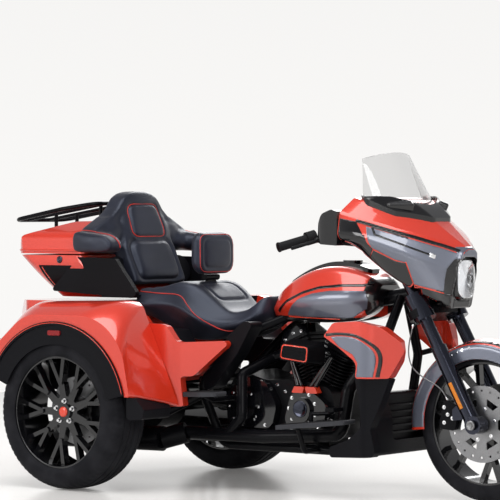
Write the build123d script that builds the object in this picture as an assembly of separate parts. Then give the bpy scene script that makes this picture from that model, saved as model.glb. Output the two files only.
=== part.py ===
from build123d import *

import os
from functools import cache
from math import cos, radians, sin, tan

# Three-wheel touring motorcycle: fork-mounted fairing, V-twin engine, rear body with two road wheels,
# luggage box with a wrap-around backrest. Millimetres, +X forward, +Y to the rider's left, +Z up, floor at Z = 0.

# Wheels and stance
WHEELBASE = 1670
REAR_AXLE_X = -650
FRONT_AXLE_X = REAR_AXLE_X + WHEELBASE
REAR_TRACK = 1110
FRONT_TYRE_RADIUS = 310
FRONT_TYRE_WIDTH = 130
FRONT_RIM_RADIUS = 241
REAR_TYRE_RADIUS = 318
REAR_TYRE_WIDTH = 215
REAR_RIM_RADIUS = 229
REAR_WHEEL_Y = REAR_TRACK / 2
PIN_GAP = 0.06
RUNNING_GAP = 0.3
MOVING_GAP = 8

# Steering: the head axis leans back by the rake and meets the floor ahead of the front tyre's contact
STEERING_RAKE = 26
STEERING_TRAIL = 99
FORK_RAKE = 29
FORK_LEG_Y = 120
FORK_LEAD = 10
STEM_RADIUS = 17
NECK_RADIUS = 34
YOKE_LOW_Z = 735
YOKE_HIGH_Z = 905
YOKE_THICKNESS = 34
YOKE_ROOM_HALF = 172

# Rear body
FENDER_OUTER_Y = REAR_WHEEL_Y + REAR_TYRE_WIDTH / 2 + 11
FENDER_INNER_Y = 430
WHEEL_WELL_RADIUS = REAR_TYRE_RADIUS + 30
ARCH_RADIUS = 372
ARCH_TRIM_INNER = 278
TRUNK_FRONT_X = -640
TRUNK_REAR_X = -1180
TRUNK_TOP_Z = 764
TRUNK_FLOOR_Z = 392
TRUNK_WALL = 14
TRUNK_MOUTH_HALF = 262
TRUNK_CORNER_X = -1010
DOOR_THICKNESS = 26

# Luggage box
BOX_PARTING_Z = 957
BOX_WALL = 10
LID_GAP = 6
LID_REAR_X = -1214
LID_FRONT_X = -824
LID_HALF_WIDTH = 288
LID_HINGE_Z = BOX_PARTING_Z - LID_GAP / 2
LID_HINGE_Y = LID_HALF_WIDTH + 8
LID_HINGE_XS = (-1100, -930)

# Engine
CRANK_X = 235
CRANK_Z = 335
CYLINDER_LEAN = 22.5
CASE_HALF_WIDTH = 120
FIN_COUNT = 9
FIN_PITCH = 14
FIN_THICKNESS = 5


def side_plane(y):
    """Plane seen from the right-hand side, with X across and Z up."""
    return Plane(origin=(0, y, 0), x_dir=(1, 0, 0), z_dir=(0, -1, 0))


def cross_plane(x):
    """Plane across the vehicle, with Y across and Z up."""
    return Plane(origin=(x, 0, 0), x_dir=(0, 1, 0), z_dir=(1, 0, 0))


def rounded_face(plane, rows):
    """Flat face from rows of (across, up, corner radius)."""
    points = [(u, v) for u, v, radius in rows]
    return plane * make_face(FilletPolyline(*points, radius=[row[2] for row in rows], close=True))


def side_solid(rows, y_low, y_high):
    """Solid with a side outline of (x, z, corner radius) rows, between two places across."""
    return extrude(rounded_face(side_plane(y_high), rows), amount=y_high - y_low)


def tapered_cover(rows, y_root, y_face, share):
    """Cover with a side outline at its root that shrinks towards its face."""
    x_mid = sum(row[0] for row in rows) / len(rows)
    z_mid = sum(row[1] for row in rows) / len(rows)
    small = [(x_mid + (x - x_mid) * share, z_mid + (z - z_mid) * share, radius * share) for x, z, radius in rows]
    return loft([rounded_face(side_plane(y_root), rows), rounded_face(side_plane(y_face), small)])


def top_solid(rows, z_low, z_high):
    """Solid with a plan outline of (x, y, corner radius) rows, between two heights."""
    return extrude(rounded_face(Plane(origin=(0, 0, z_low)), rows), amount=z_high - z_low)


def front_solid(rows, x_low, x_high):
    """Solid with a front outline of (y, z, corner radius) rows, between two places along."""
    return extrude(rounded_face(cross_plane(x_low), rows), amount=x_high - x_low)


def both_sides(half):
    """Corners of a section that is the same on both sides, from those of its left half, lowest first."""
    return half + [(-y, z, radius) for y, z, radius in reversed(half)]


def loft_along(stations):
    """Smooth solid through (x, left-half corners) stations."""
    return loft([rounded_face(cross_plane(x), both_sides(half)) for x, half in stations])


def block(x_low, x_high, y_low, y_high, z_low, z_high):
    """Plain box between two corners."""
    size = (x_high - x_low, y_high - y_low, z_high - z_low)
    middle = ((x_high + x_low) / 2, (y_high + y_low) / 2, (z_high + z_low) / 2)
    return Pos(*middle) * Box(*size)


def rod(start, end, radius, bore=0):
    """Round bar, or a pipe where it has a bore."""
    along = Vector(*end) - Vector(*start)
    ring = Circle(radius) - Circle(bore) if bore else Circle(radius)
    return extrude(Plane(origin=start, z_dir=along) * ring, amount=along.length)


def tube(points, bend, radius):
    """Bent round tube through points, with one bend radius."""
    path = FilletPolyline(*points, radius=bend) if len(points) > 2 else Line(*points)
    return sweep(Plane(origin=path @ 0, z_dir=path % 0) * Circle(radius), path=path)


def together(*shapes):
    """Several pieces as the separate solids of one node."""
    return Compound(children=[solid for shape in shapes for solid in shape.solids()])


def left_of(right):
    """The left-hand twin of a right-hand piece."""
    return mirror(right, about=Plane.XZ)


def pair(right):
    """Both twins of a right-hand piece, as two solids."""
    return together(right, left_of(right))


def ring_about_axle(x, z, profile):
    """Solid of revolution about a level axle, from a face of (across, radius) rows."""
    return Pos(x, 0, z) * revolve(rounded_face(cross_plane(0), profile), axis=Axis.Y)


# Wheels, each built about its own centre with the axle along Y and the outer side towards -Y

BEAD_STEP = 16
CARCASS = 13


def tyre(radius, width, rim_radius, bead_half, tread_half):
    """Hollow tyre: beads on the rim's seat, bulging side walls, shoulders that slope to the tread."""
    half = width / 2
    bulge = rim_radius + 0.48 * (radius - rim_radius)
    outer = both_sides([
        (bead_half, rim_radius, 0.5), (bead_half, rim_radius + BEAD_STEP, 2), (half, bulge, 14), (tread_half, radius, 22),
    ])
    inner = both_sides([
        (bead_half - CARCASS, rim_radius - 1, 0.5), (half - CARCASS, bulge + 2, 10), (tread_half - 8, radius - CARCASS, 12),
    ])
    return ring_about_axle(0, 0, outer) - ring_about_axle(0, 0, inner)


def rim_barrel(rim_radius, bead_half):
    """Wheel barrel: bead seats, a drop centre and two flanges."""
    edge = bead_half + 7
    rows = [
        (-edge, rim_radius + BEAD_STEP, 2), (-bead_half - RUNNING_GAP, rim_radius + BEAD_STEP, 2),
        (-bead_half - RUNNING_GAP, rim_radius - RUNNING_GAP, 1), (bead_half + RUNNING_GAP, rim_radius - RUNNING_GAP, 1),
        (bead_half + RUNNING_GAP, rim_radius + BEAD_STEP, 2), (edge, rim_radius + BEAD_STEP, 2),
        (edge, rim_radius - 9, 3), (-edge, rim_radius - 9, 3),
    ]
    return ring_about_axle(0, 0, rows)


def spoke(inner, outer, y_low, y_high):
    """Tapered bar between two (radius, angle, half width) ends, in the wheel's plane."""
    corners = []
    for (radius, angle, half), signs in ((inner, (-1, 1)), (outer, (1, -1))):
        for sign in signs:
            c, s = cos(radians(angle)), sin(radians(angle))
            corners.append((radius * c - sign * half * s, radius * s + sign * half * c, 0))
    return side_solid(corners, y_low, y_high)


FRONT_BEAD_HALF = 52
FRONT_TREAD_HALF = 36
FRONT_HUB_RADIUS = 42
FRONT_HUB_HALF = 72
FRONT_AXLE_RADIUS = 12.5
FRONT_SPOKES = 7
FRONT_DISC_RADIUS = 150
FRONT_DISC_Y = 77
FRONT_DISC_THICKNESS = 5
DISC_CARRIER_RADIUS = 60


def front_rim():
    """Front wheel: forked spokes from a slim hub to the barrel."""
    hub = rod((0, -FRONT_HUB_HALF, 0), (0, FRONT_HUB_HALF, 0), FRONT_HUB_RADIUS)
    flange = rod((0, -FRONT_DISC_Y, 0), (0, FRONT_DISC_Y, 0), DISC_CARRIER_RADIUS)
    cores = rod((0, -FRONT_HUB_HALF + 8, 0), (0, FRONT_HUB_HALF - 8, 0), DISC_CARRIER_RADIUS + 1)
    wheel = rim_barrel(FRONT_RIM_RADIUS, FRONT_BEAD_HALF) + hub + (flange - cores)
    pitch = 360 / FRONT_SPOKES
    fork_radius = FRONT_RIM_RADIUS * 0.56
    reach = FRONT_RIM_RADIUS - 5
    for number in range(FRONT_SPOKES):
        angle = number * pitch + pitch / 4
        wheel += spoke((FRONT_HUB_RADIUS - 6, angle, 22), (fork_radius, angle, 15), -15, 15)
        for turn in (-1, 1):
            wheel += spoke((fork_radius - 12, angle, 9), (reach, angle + turn * pitch / 5, 10), -15, 15)
    return wheel - rod((0, -FRONT_DISC_Y - 1, 0), (0, FRONT_DISC_Y + 1, 0), FRONT_AXLE_RADIUS + PIN_GAP)


def disc(radius, bore, y_low, y_high, holes):
    """Brake disc with a ring of cooling holes."""
    plate = rod((0, y_low, 0), (0, y_high, 0), radius, bore)
    ring_radius = radius * 0.87
    for number in range(holes):
        angle = radians(number * 360 / holes)
        x, z = ring_radius * cos(angle), ring_radius * sin(angle)
        plate -= rod((x, y_low - 1, z), (x, y_high + 1, z), 5)
    return plate


def front_discs():
    """Both front discs: a drilled ring, and window openings that leave the carrier's arms."""
    y_low = -FRONT_DISC_Y - FRONT_DISC_THICKNESS
    plate = disc(FRONT_DISC_RADIUS, FRONT_AXLE_RADIUS + 12, y_low, -FRONT_DISC_Y, 20)
    arms = 6
    for number in range(arms):
        window = spoke((72, number * 360 / arms, 16), (98, number * 360 / arms, 30), y_low - 1, 1 - FRONT_DISC_Y)
        plate -= window
    return pair(plate)


REAR_BEAD_HALF = 92
REAR_TREAD_HALF = 94
REAR_SPOKE_PAIRS = 9
REAR_HUB_RADIUS = 64
REAR_HUB_OUT = 52
REAR_HUB_IN = 30
SPINDLE_RADIUS = 26
REAR_DISC_RADIUS = 140
REAR_DISC_THICKNESS = 7


def rear_rim():
    """Right rear wheel: nine forked spokes set behind a deep flange, round hub with a cap."""
    wheel = rim_barrel(REAR_RIM_RADIUS, REAR_BEAD_HALF)
    wheel += rod((0, -REAR_HUB_OUT, 0), (0, REAR_HUB_IN, 0), REAR_HUB_RADIUS)
    wheel += rod((0, -REAR_HUB_OUT - 10, 0), (0, -REAR_HUB_OUT, 0), 34)
    pitch = 360 / REAR_SPOKE_PAIRS
    reach = REAR_RIM_RADIUS - 4
    for number in range(REAR_SPOKE_PAIRS):
        angle = number * pitch + pitch / 2
        wheel += spoke((REAR_HUB_RADIUS - 8, angle, 17), (120, angle, 14), -REAR_HUB_OUT, -22)
        for turn in (-1, 1):
            wheel += spoke((112, angle, 8), (reach, angle + turn * pitch / 4.4, 9), -REAR_HUB_OUT - 8, -26)
    bore_end = -REAR_HUB_OUT + 14
    return wheel - rod((0, bore_end, 0), (0, REAR_HUB_IN + 1, 0), SPINDLE_RADIUS + PIN_GAP)


def rear_disc():
    """Right rear brake disc, on the hub's inner end."""
    return disc(REAR_DISC_RADIUS, SPINDLE_RADIUS + 8, REAR_HUB_IN, REAR_HUB_IN + REAR_DISC_THICKNESS, 18)


def at_front_axle(shape):
    return Pos(FRONT_AXLE_X, 0, FRONT_TYRE_RADIUS) * shape


def at_rear_axle(shape):
    return Pos(REAR_AXLE_X, -REAR_WHEEL_Y, REAR_TYRE_RADIUS) * shape


# Front fork and steering

FORK_TUBE_RADIUS = 25
FORK_SLIDER_RADIUS = 31
FORK_SLIDER_TOP_Z = 607
FORK_COVER_RADIUS = 44
AXLE_CLAMP_RADIUS = 36
FENDER_SEAT_Z = 547
FENDER_HALF = 84
CALIPER_OUTER_Y = -112


def axis_x(z):
    """Place along of the steering axis at a height."""
    return FRONT_AXLE_X + STEERING_TRAIL - z * tan(radians(STEERING_RAKE))


def on_axis(z):
    return (axis_x(z), 0, z)


def fork_point(z, y=-FORK_LEG_Y):
    """Point on a fork leg's centre line."""
    return (FRONT_AXLE_X - FORK_LEAD - (z - FRONT_TYRE_RADIUS) * tan(radians(FORK_RAKE)), y, z)


@cache
def fork_legs():
    """Fork tubes with sliders, axle clamps and the axle between them."""
    leg = rod(fork_point(FORK_SLIDER_TOP_Z - 40), fork_point(YOKE_HIGH_Z + 22), FORK_TUBE_RADIUS)
    leg += rod(fork_point(FRONT_TYRE_RADIUS), fork_point(FORK_SLIDER_TOP_Z), FORK_SLIDER_RADIUS)
    clamp_low, clamp_high = -FORK_LEG_Y - 30, -FRONT_DISC_Y - FRONT_DISC_THICKNESS - MOVING_GAP
    centre = (FRONT_AXLE_X, FRONT_TYRE_RADIUS)
    leg += rod((centre[0], clamp_low, centre[1]), (centre[0], clamp_high, centre[1]), AXLE_CLAMP_RADIUS)
    seat_point = fork_point(FENDER_SEAT_Z)
    leg += rod(seat_point, (seat_point[0], -FENDER_HALF - RUNNING_GAP, seat_point[2]), 14)
    lug_low, lug_high = fork_point(FRONT_TYRE_RADIUS + 22), fork_point(FRONT_TYRE_RADIUS + 92)
    lug = [(lug_low[0], lug_low[2], 4), (lug_high[0], lug_high[2], 4), (lug_high[0] - 44, lug_high[2] - 36, 10), (lug_low[0] - 84, lug_low[2] - 10, 10)]
    leg += side_solid(lug, -FORK_LEG_Y - 8, CALIPER_OUTER_Y - RUNNING_GAP)
    axle_half = FORK_LEG_Y + 42
    axle = rod((centre[0], -axle_half, centre[1]), (centre[0], axle_half, centre[1]), FRONT_AXLE_RADIUS)
    return leg + left_of(leg) + axle


def fork_covers():
    """Slim cans round the fork tubes below the fairing, a little wider at their foot."""
    low, high = fork_point(712), fork_point(YOKE_LOW_Z - 46 + 120)
    can = rod(low, high, FORK_COVER_RADIUS, FORK_TUBE_RADIUS + RUNNING_GAP)
    return pair(can - fork_yokes())


def yoke_plate(z, half_width, reach):
    """One fork yoke, square to the steering axis, rounded at both ends."""
    lean = Plane(origin=on_axis(z), x_dir=(0, 1, 0), z_dir=Vector(-sin(radians(STEERING_RAKE)), 0, cos(radians(STEERING_RAKE))))
    outline = lean * RectangleRounded(2 * half_width, 2 * reach, reach * 0.8)
    return extrude(outline, amount=YOKE_THICKNESS / 2, both=True)


@cache
def fork_yokes():
    """Lower and upper yokes and the stem that joins them, bored for the fork tubes."""
    yokes = yoke_plate(YOKE_LOW_Z, 165, 44) + yoke_plate(YOKE_HIGH_Z, 155, 40)
    yokes += rod(on_axis(YOKE_LOW_Z), on_axis(YOKE_HIGH_Z), STEM_RADIUS)
    yokes &= block(500, 900, -YOKE_ROOM_HALF + RUNNING_GAP, YOKE_ROOM_HALF - RUNNING_GAP, 600, 1000)
    for side in (-1, 1):
        start = (axis_x(YOKE_HIGH_Z) + 8, side * 140, YOKE_HIGH_Z - 6)
        arm = rod(start, (axis_x(YOKE_HIGH_Z) + 20, side * (YOKE_ROOM_HALF + 90), YOKE_HIGH_Z + 24), 13)
        yokes += arm & fairing_form(FAIRING_WALL, 545, LAMP_WALL_X)
    for y in (-FORK_LEG_Y, FORK_LEG_Y):
        yokes -= rod(fork_point(FORK_SLIDER_TOP_Z, y), fork_point(YOKE_HIGH_Z + 60, y), FORK_TUBE_RADIUS + RUNNING_GAP)
    return yokes


FENDER_RADIUS = 334
FENDER_SKIN = 4


def front_fender():
    """Front mudguard: crowned top, side skirts, swept round the tyre and lower at its tail."""
    outer = both_sides([(FENDER_HALF, FENDER_RADIUS - 78, 3), (FENDER_HALF, FENDER_RADIUS - 14, 30), (12, FENDER_RADIUS + 1, 60)])
    inner = both_sides([
        (FENDER_HALF - FENDER_SKIN, FENDER_RADIUS - 90, 2), (FENDER_HALF - FENDER_SKIN, FENDER_RADIUS - 17, 27),
        (12, FENDER_RADIUS + 1 - FENDER_SKIN, 57),
    ])
    centre = Pos(FRONT_AXLE_X - 10, 0, FRONT_TYRE_RADIUS - 4)
    arc = (0, 0, 0), (0, 1, 0)
    shell = revolve(rounded_face(cross_plane(0), outer), axis=Axis(*arc), revolution_arc=158)
    hollow = revolve(rounded_face(cross_plane(0), inner), axis=Axis(*arc), revolution_arc=158)
    return centre * (Rot(0, 60 - 158 + 2, 0) * (shell - hollow))


CALIPER_ANGLE = 168
CALIPER_RADIUS = 126


def front_calipers():
    """Two front calipers, behind the fork legs, slotted over the discs."""
    slot_low = -FRONT_DISC_Y - FRONT_DISC_THICKNESS - 5.5
    body = side_solid([(-44, -58, 16), (30, -50, 14), (30, 50, 14), (-44, 58, 16)], CALIPER_OUTER_Y, CALIPER_OUTER_Y + 42)
    slot = side_solid([(-31, -80, 0), (70, -80, 0), (70, 80, 0), (-31, 80, 0)], slot_low, -FRONT_DISC_Y + 5.5)
    angle = radians(CALIPER_ANGLE)
    place = Pos(FRONT_AXLE_X + CALIPER_RADIUS * cos(angle), 0, FRONT_TYRE_RADIUS + CALIPER_RADIUS * sin(angle))
    return pair((place * (Rot(0, -CALIPER_ANGLE + 180, 0) * (body - slot))) - fork_legs())


# Handlebar and hand controls

BAR_RADIUS = 12.7
GRIP_RADIUS = 18
GRIP_INNER = (378, -345, 1030)
GRIP_OUTER = (312, -452, 996)


@cache
def handlebar():
    """Swept-back bar on two risers from the upper yoke."""
    middle = (axis_x(YOKE_HIGH_Z) + 5, 0, YOKE_HIGH_Z + 75)
    right = [middle, (middle[0] - 10, -90, middle[2]), (middle[0] - 60, -215, 1004), GRIP_INNER, GRIP_OUTER]
    bar = tube(right[1:], 60, BAR_RADIUS)
    bar += left_of(bar) + rod((right[1][0], -92, middle[2]), (right[1][0], 92, middle[2]), BAR_RADIUS)
    foot_z = YOKE_HIGH_Z + YOKE_THICKNESS / 2 + 2
    riser = rod((axis_x(foot_z), -45, foot_z), (right[1][0], -45, middle[2]), 17)
    return bar + (riser + left_of(riser) - fork_yokes())


def along_grip(distance, lift=0):
    """Point along the right grip from its inner end, lifted off its axis."""
    way = (Vector(*GRIP_OUTER) - Vector(*GRIP_INNER)).normalized()
    return tuple(Vector(*GRIP_INNER) + way * distance + Vector(0.3, 0, 0.95) * lift)


@cache
def hand_controls():
    """Rubber grips, switch pods and brake or clutch levers."""
    bore = BAR_RADIUS + RUNNING_GAP
    grip = rod(along_grip(6), along_grip(124), GRIP_RADIUS, bore) + rod(along_grip(124.2), along_grip(130), GRIP_RADIUS + 2)
    pod = rod(along_grip(-34), along_grip(5.6), 27, bore)
    start = Vector(*along_grip(-18)) + Vector(26, -6, -6)
    lever = tube([tuple(start), tuple(start + Vector(26, -30, -6)), tuple(start + Vector(-28, -128, -36))], 30, 7)
    return pair((pod + lever + grip) - handlebar())


def mirrors():
    """Rear-view mirrors: deep rounded housings that carry on from the fairing's wings."""
    outline = [(545, 1138, 4), (520, 1146, 20), (478, 1128, 40), (456, 1090, 40), (452, 1044, 30), (462, 1010, 24), (545, 1004, 4)]
    plan = [(440, -372, 20), (474, -398, 40), (570, -381, 4), (570, -336, 4), (440, -334, 16)]
    head = side_solid(outline, -410, -325) & top_solid(plan, 980, 1160)
    root = block(540, 572, -384, -340, 1044, 1126) & fairing_form(FAIRING_WALL, 545, LAMP_WALL_X)
    return pair((head + root) - hand_controls())


# Fairing

# Place along, then corners of the left half as (y, z, radius): foot, widest, shoulder
FAIRING_STATIONS = [
    (545, [(262, 1002, 24), (385, 1034, 30), (366, 1134, 30), (262, 1192, 40)]),
    (620, [(258, 946, 24), (346, 1030, 40), (316, 1104, 40), (212, 1184, 40)]),
    (700, [(202, 868, 24), (276, 1000, 50), (256, 1074, 40), (96, 1164, 40)]),
    (780, [(148, 812, 24), (204, 962, 50), (192, 1046, 40), (52, 1104, 24)]),
    (860, [(88, 764, 20), (116, 925, 40), (104, 1012, 24), (34, 1038, 14)]),
    (935, [(50, 742, 12), (52, 900, 20), (40, 966, 8), (20, 976, 4)]),
]
FAIRING_INSET_UP = (0.6, 0, -0.5, -1)
FAIRING_WALL = 12
NOSE_TOP = (922, 985)
NOSE_FOOT = (868, 737)
HEADLAMP_Z = 872
HEADLAMP_HALF = 70
HEADLAMP_HALF_HEIGHT = 80
HEADLAMP_FACE_X = 856
LAMP_WALL_X = HEADLAMP_FACE_X - 92


def nose_cut():
    """Everything ahead of the fairing's raked front face."""
    lean = (NOSE_TOP[0] - NOSE_FOOT[0]) / (NOSE_TOP[1] - NOSE_FOOT[1])
    low_z, high_z, far = 600, 1150, 1300
    rows = [
        (NOSE_FOOT[0] + (low_z - NOSE_FOOT[1]) * lean, low_z, 0), (far, low_z, 0),
        (far, high_z, 0), (NOSE_FOOT[0] + (high_z - NOSE_FOOT[1]) * lean, high_z, 0),
    ]
    return side_solid(rows, -600, 600)


def lamp_outline(grow):
    """Rounded front outline of the headlamp, a little narrower below, grown on all sides."""
    half, rise = HEADLAMP_HALF + grow, HEADLAMP_HALF_HEIGHT + grow
    return [
        (-half + 12, HEADLAMP_Z - rise, 40), (half - 12, HEADLAMP_Z - rise, 40),
        (half, HEADLAMP_Z + rise, 52), (-half, HEADLAMP_Z + rise, 52),
    ]


@cache
def fairing_form(inset, first_x, last_x):
    """The fairing's outer form, or its hollow when inset, between two places along."""
    stations = []
    for x, half in FAIRING_STATIONS:
        rows = [(y - inset, z + inset * up, radius) for (y, z, radius), up in zip(half, FAIRING_INSET_UP)]
        stations.append((x, rows))
    return loft_along(stations) & block(first_x, last_x, -600, 600, 500, 1400)


BAR_ROOM_HALF = 292
BAR_ROOM_TOP_Z = 1036


def fairing_shell():
    """Outer fairing: hollow and open behind, with room for the fork, a raked nose and a lamp recess."""
    shell = fairing_form(0, 545, 935) - nose_cut() - fairing_form(FAIRING_WALL, 540, LAMP_WALL_X)
    shell -= block(500, LAMP_WALL_X, -YOKE_ROOM_HALF, YOKE_ROOM_HALF, 600, 1010)
    shell -= block(500, 850, -YOKE_ROOM_HALF, YOKE_ROOM_HALF, 600, 786)
    shell -= block(500, HEADLAMP_FACE_X - 70, -YOKE_ROOM_HALF, YOKE_ROOM_HALF, 600, 838)
    shell -= block(500, 600, -BAR_ROOM_HALF, BAR_ROOM_HALF, 600, BAR_ROOM_TOP_Z)
    recess = front_solid(lamp_outline(6), HEADLAMP_FACE_X - 70, 1000)
    return shell - recess


def headlamp():
    """Headlamp body with a domed, rounded-square lens."""
    body = front_solid(lamp_outline(0), HEADLAMP_FACE_X - 70 + RUNNING_GAP, HEADLAMP_FACE_X - 14)
    lens = front_solid(lamp_outline(-8), HEADLAMP_FACE_X - 14, HEADLAMP_FACE_X)
    return body + lens


DASH_X = 585
DASH_SPEAKER = (DASH_X, 238, 1090)
DASH_SPEAKER_RADIUS = 46
DASH_SCREEN = (146, 1046, 1168)


def fairing_inner():
    """Inner panel that closes the fairing behind the screen, with two speaker openings and a screen seat."""
    panel = fairing_form(FAIRING_WALL + 0.5, DASH_X, DASH_X + 22)
    panel -= block(500, 850, -YOKE_ROOM_HALF - 4, YOKE_ROOM_HALF + 4, 600, 1014)
    panel -= block(500, 850, -BAR_ROOM_HALF, BAR_ROOM_HALF, 600, BAR_ROOM_TOP_Z)
    x, y, z = DASH_SPEAKER
    for side in (-1, 1):
        panel -= rod((x - 10, side * y, z), (x + 12, side * y, z), DASH_SPEAKER_RADIUS + 1)
    half, low, high = DASH_SCREEN
    return panel - block(DASH_X - 1, DASH_X + 14, -half - 1, half + 1, low - 1, high + 1)


def dash_screen():
    """Wide colour screen set in the inner panel."""
    half, low, high = DASH_SCREEN
    return block(DASH_X - 8, DASH_X + 13.7, -half, half, low, high)


def dash_speakers():
    """Round speaker grilles in the inner panel."""
    x, y, z = DASH_SPEAKER
    return pair(rod((x - 4, -y, z), (x + 11.7, -y, z), DASH_SPEAKER_RADIUS))


WINDSHIELD_FOOT = [(556, -218, 1176), (716, 0, 1126), (556, 218, 1176)]
WINDSHIELD_HEAD = [(520, -170, 1345), (576, 0, 1371), (520, 170, 1345)]
WINDSHIELD_THICKNESS = 5


def screen_sheet():
    """The screen's curved face, between two arcs."""
    foot = ThreePointArc(*WINDSHIELD_FOOT)
    head = ThreePointArc(*WINDSHIELD_HEAD)
    return Face.make_surface_from_curves(foot.edge(), head.edge())


def windshield():
    """Clear screen: one curved sheet that leans back, with rounded top corners."""
    outline = [(-246, 1100, 10), (246, 1100, 10), (174, 1378, 50), (-174, 1378, 50)]
    return (thicken(screen_sheet(), WINDSHIELD_THICKNESS) & front_solid(outline, 480, 760)) - fairing_form(0, 545, 935)


VENT_RISE = 15
VENT_ARC_X = 489
VENT_ARC_RADIUS = 232


def windshield_vents():
    """Black shroud round the screen's foot, with a raised duct at each end."""
    plan = [(560, -238, 10), (600, -268, 20), (692, -190, 60), (788, -62, 46)]
    plan += [(x, -y, radius) for x, y, radius in reversed(plan)]
    shroud = fairing_form(-VENT_RISE, 545, 935) & top_solid(plan, 1060, 1240)
    duct = Pos(684, -152, 1158) * (Rot(0, 0, 50) * (Rot(22, 0, 0) * fillet(Box(112, 44, 36).edges(), 9)))
    shroud += duct + left_of(duct)
    shroud -= rod((VENT_ARC_X, 0, 1000), (VENT_ARC_X, 0, 1300), VENT_ARC_RADIUS)
    return shroud - fairing_form(0, 545, 935) - thick_screen()


@cache
def thick_screen():
    """Room that the screen takes, a little thicker than the screen."""
    sheet = screen_sheet()
    return thicken(sheet, WINDSHIELD_THICKNESS + RUNNING_GAP) + thicken(sheet, -RUNNING_GAP)


# Frame and engine

FRAME_TUBE = 19
BACKBONE_RADIUS = 30
CRADLE_Y = 142
CRADLE_Z = 178
CRADLE_FRONT_X = 520
CRADLE_REAR_X = -190
CROSS_TUBE = 15
ENGINE_FOOT_FRONT_X = CRANK_X + 30
ENGINE_FOOT_REAR_X = -100


@cache
def frame():
    """Tubular frame: steering neck, backbone, two cradle loops, seat rails and cross tubes."""
    gap = YOKE_THICKNESS / 2 + MOVING_GAP
    neck = rod(on_axis(YOKE_LOW_Z + gap), on_axis(YOKE_HIGH_Z - gap), NECK_RADIUS)
    neck_mid = on_axis((YOKE_LOW_Z + YOKE_HIGH_Z) / 2)
    backbone = rod(neck_mid, (40, 0, 712), BACKBONE_RADIUS) + rod((44, 0, 712), (-330, 0, 560), BACKBONE_RADIUS * 0.8)
    loop = [
        (neck_mid[0] - 112, -20, neck_mid[2] - 22), (CRADLE_FRONT_X + 62, -CRADLE_Y, 560), (CRADLE_FRONT_X, -CRADLE_Y, CRADLE_Z),
        (CRADLE_REAR_X, -CRADLE_Y, CRADLE_Z), (CRADLE_REAR_X - 120, -CRADLE_Y, 420), (-60, -CRADLE_Y, 640), (150, -30, 735),
    ]
    rail = tube(loop, 70, FRAME_TUBE)
    cross = [(ENGINE_FOOT_FRONT_X, CRADLE_Z), (ENGINE_FOOT_REAR_X, CRADLE_Z), (CRADLE_REAR_X - 112, 440)]
    body = neck + backbone + rail + left_of(rail)
    for x, z in cross:
        body += rod((x, -CRADLE_Y, z), (x, CRADLE_Y, z), CROSS_TUBE)
    return body - rod(on_axis(YOKE_LOW_Z), on_axis(YOKE_HIGH_Z), STEM_RADIUS + PIN_GAP)


CYLINDER_RADIUS = 62
FIN_RADIUS = 80
BARREL_FOOT = 118
HEAD_FOOT = BARREL_FOOT + FIN_COUNT * FIN_PITCH
HEAD_HEIGHT = 62
COVER_HEIGHT = 46


def along_cylinder(lean, distance):
    """Point on a cylinder's centre line, by its distance from the crankshaft."""
    return (CRANK_X + distance * sin(radians(lean)), 0, CRANK_Z + distance * cos(radians(lean)))


def on_cylinder(shape, lean):
    """Moves a shape built upright on the crankshaft's centre to a leaning cylinder."""
    return Pos(CRANK_X, 0, CRANK_Z) * (Rot(0, lean, 0) * shape)


@cache
def one_cylinder():
    """Finned barrel and head, standing upright over the origin."""
    barrel = rod((0, 0, BARREL_FOOT), (0, 0, HEAD_FOOT + HEAD_HEIGHT), CYLINDER_RADIUS)
    for number in range(FIN_COUNT):
        z = BARREL_FOOT + 4 + number * FIN_PITCH
        barrel += extrude(Plane(origin=(0, 0, z)) * RectangleRounded(2 * FIN_RADIUS - 16, 2 * FIN_RADIUS, 44), amount=FIN_THICKNESS)
    head = RectangleRounded(2 * FIN_RADIUS - 10, 2 * FIN_RADIUS + 12, 24)
    barrel += extrude(Plane(origin=(0, 0, HEAD_FOOT)) * head, amount=HEAD_HEIGHT)
    for number in range(3):
        z = HEAD_FOOT + 8 + number * 18
        groove = extrude(Plane(origin=(0, 0, z)) * head, amount=8)
        core = extrude(Plane(origin=(0, 0, z)) * RectangleRounded(2 * FIN_RADIUS - 34, 2 * FIN_RADIUS - 14, 24), amount=8)
        barrel -= groove - core
    return barrel


@cache
def engine_cylinders():
    """Both cylinders, one leaning back and one forward, parted at the upright plane over the crankshaft."""
    front = on_cylinder(one_cylinder(), CYLINDER_LEAN) & block(CRANK_X + 0.3, CRANK_X + 400, -200, 200, CRANK_Z, CRANK_Z + 500)
    rear = on_cylinder(one_cylinder(), -CYLINDER_LEAN) & block(CRANK_X - 400, CRANK_X - 0.3, -200, 200, CRANK_Z, CRANK_Z + 500)
    return together(rear, front)


@cache
def rocker_covers():
    """Rocker covers on the heads."""
    foot = HEAD_FOOT + HEAD_HEIGHT
    low = Plane(origin=(0, 0, foot)) * RectangleRounded(2 * FIN_RADIUS - 6, 2 * FIN_RADIUS + 16, 26)
    high = Plane(origin=(0, 0, foot + COVER_HEIGHT)) * RectangleRounded(2 * FIN_RADIUS - 50, 2 * FIN_RADIUS - 26, 26)
    cover = loft([low, high])
    return together(on_cylinder(cover, -CYLINDER_LEAN), on_cylinder(cover, CYLINDER_LEAN))


def engine_case():
    """Crankcase and gearbox: one plain heavy block, shaped like its castings."""
    rows = [
        (-150, 232, 40), (CRANK_X + 60, 208, 60), (CRANK_X + 130, 290, 60), (CRANK_X + 100, 425, 50),
        (CRANK_X - 40, 452, 40), (10, 448, 50), (-130, 490, 40), (-165, 400, 40),
    ]
    case = side_solid(rows, -CASE_HALF_WIDTH, CASE_HALF_WIDTH)
    for x in (ENGINE_FOOT_FRONT_X, ENGINE_FOOT_REAR_X):
        case += block(x - 26, x + 26, -70, 70, CRADLE_Z + CROSS_TUBE + RUNNING_GAP, 262)
    return case - engine_cylinders() - frame()


CAM_COVER_Y = -CASE_HALF_WIDTH


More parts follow.
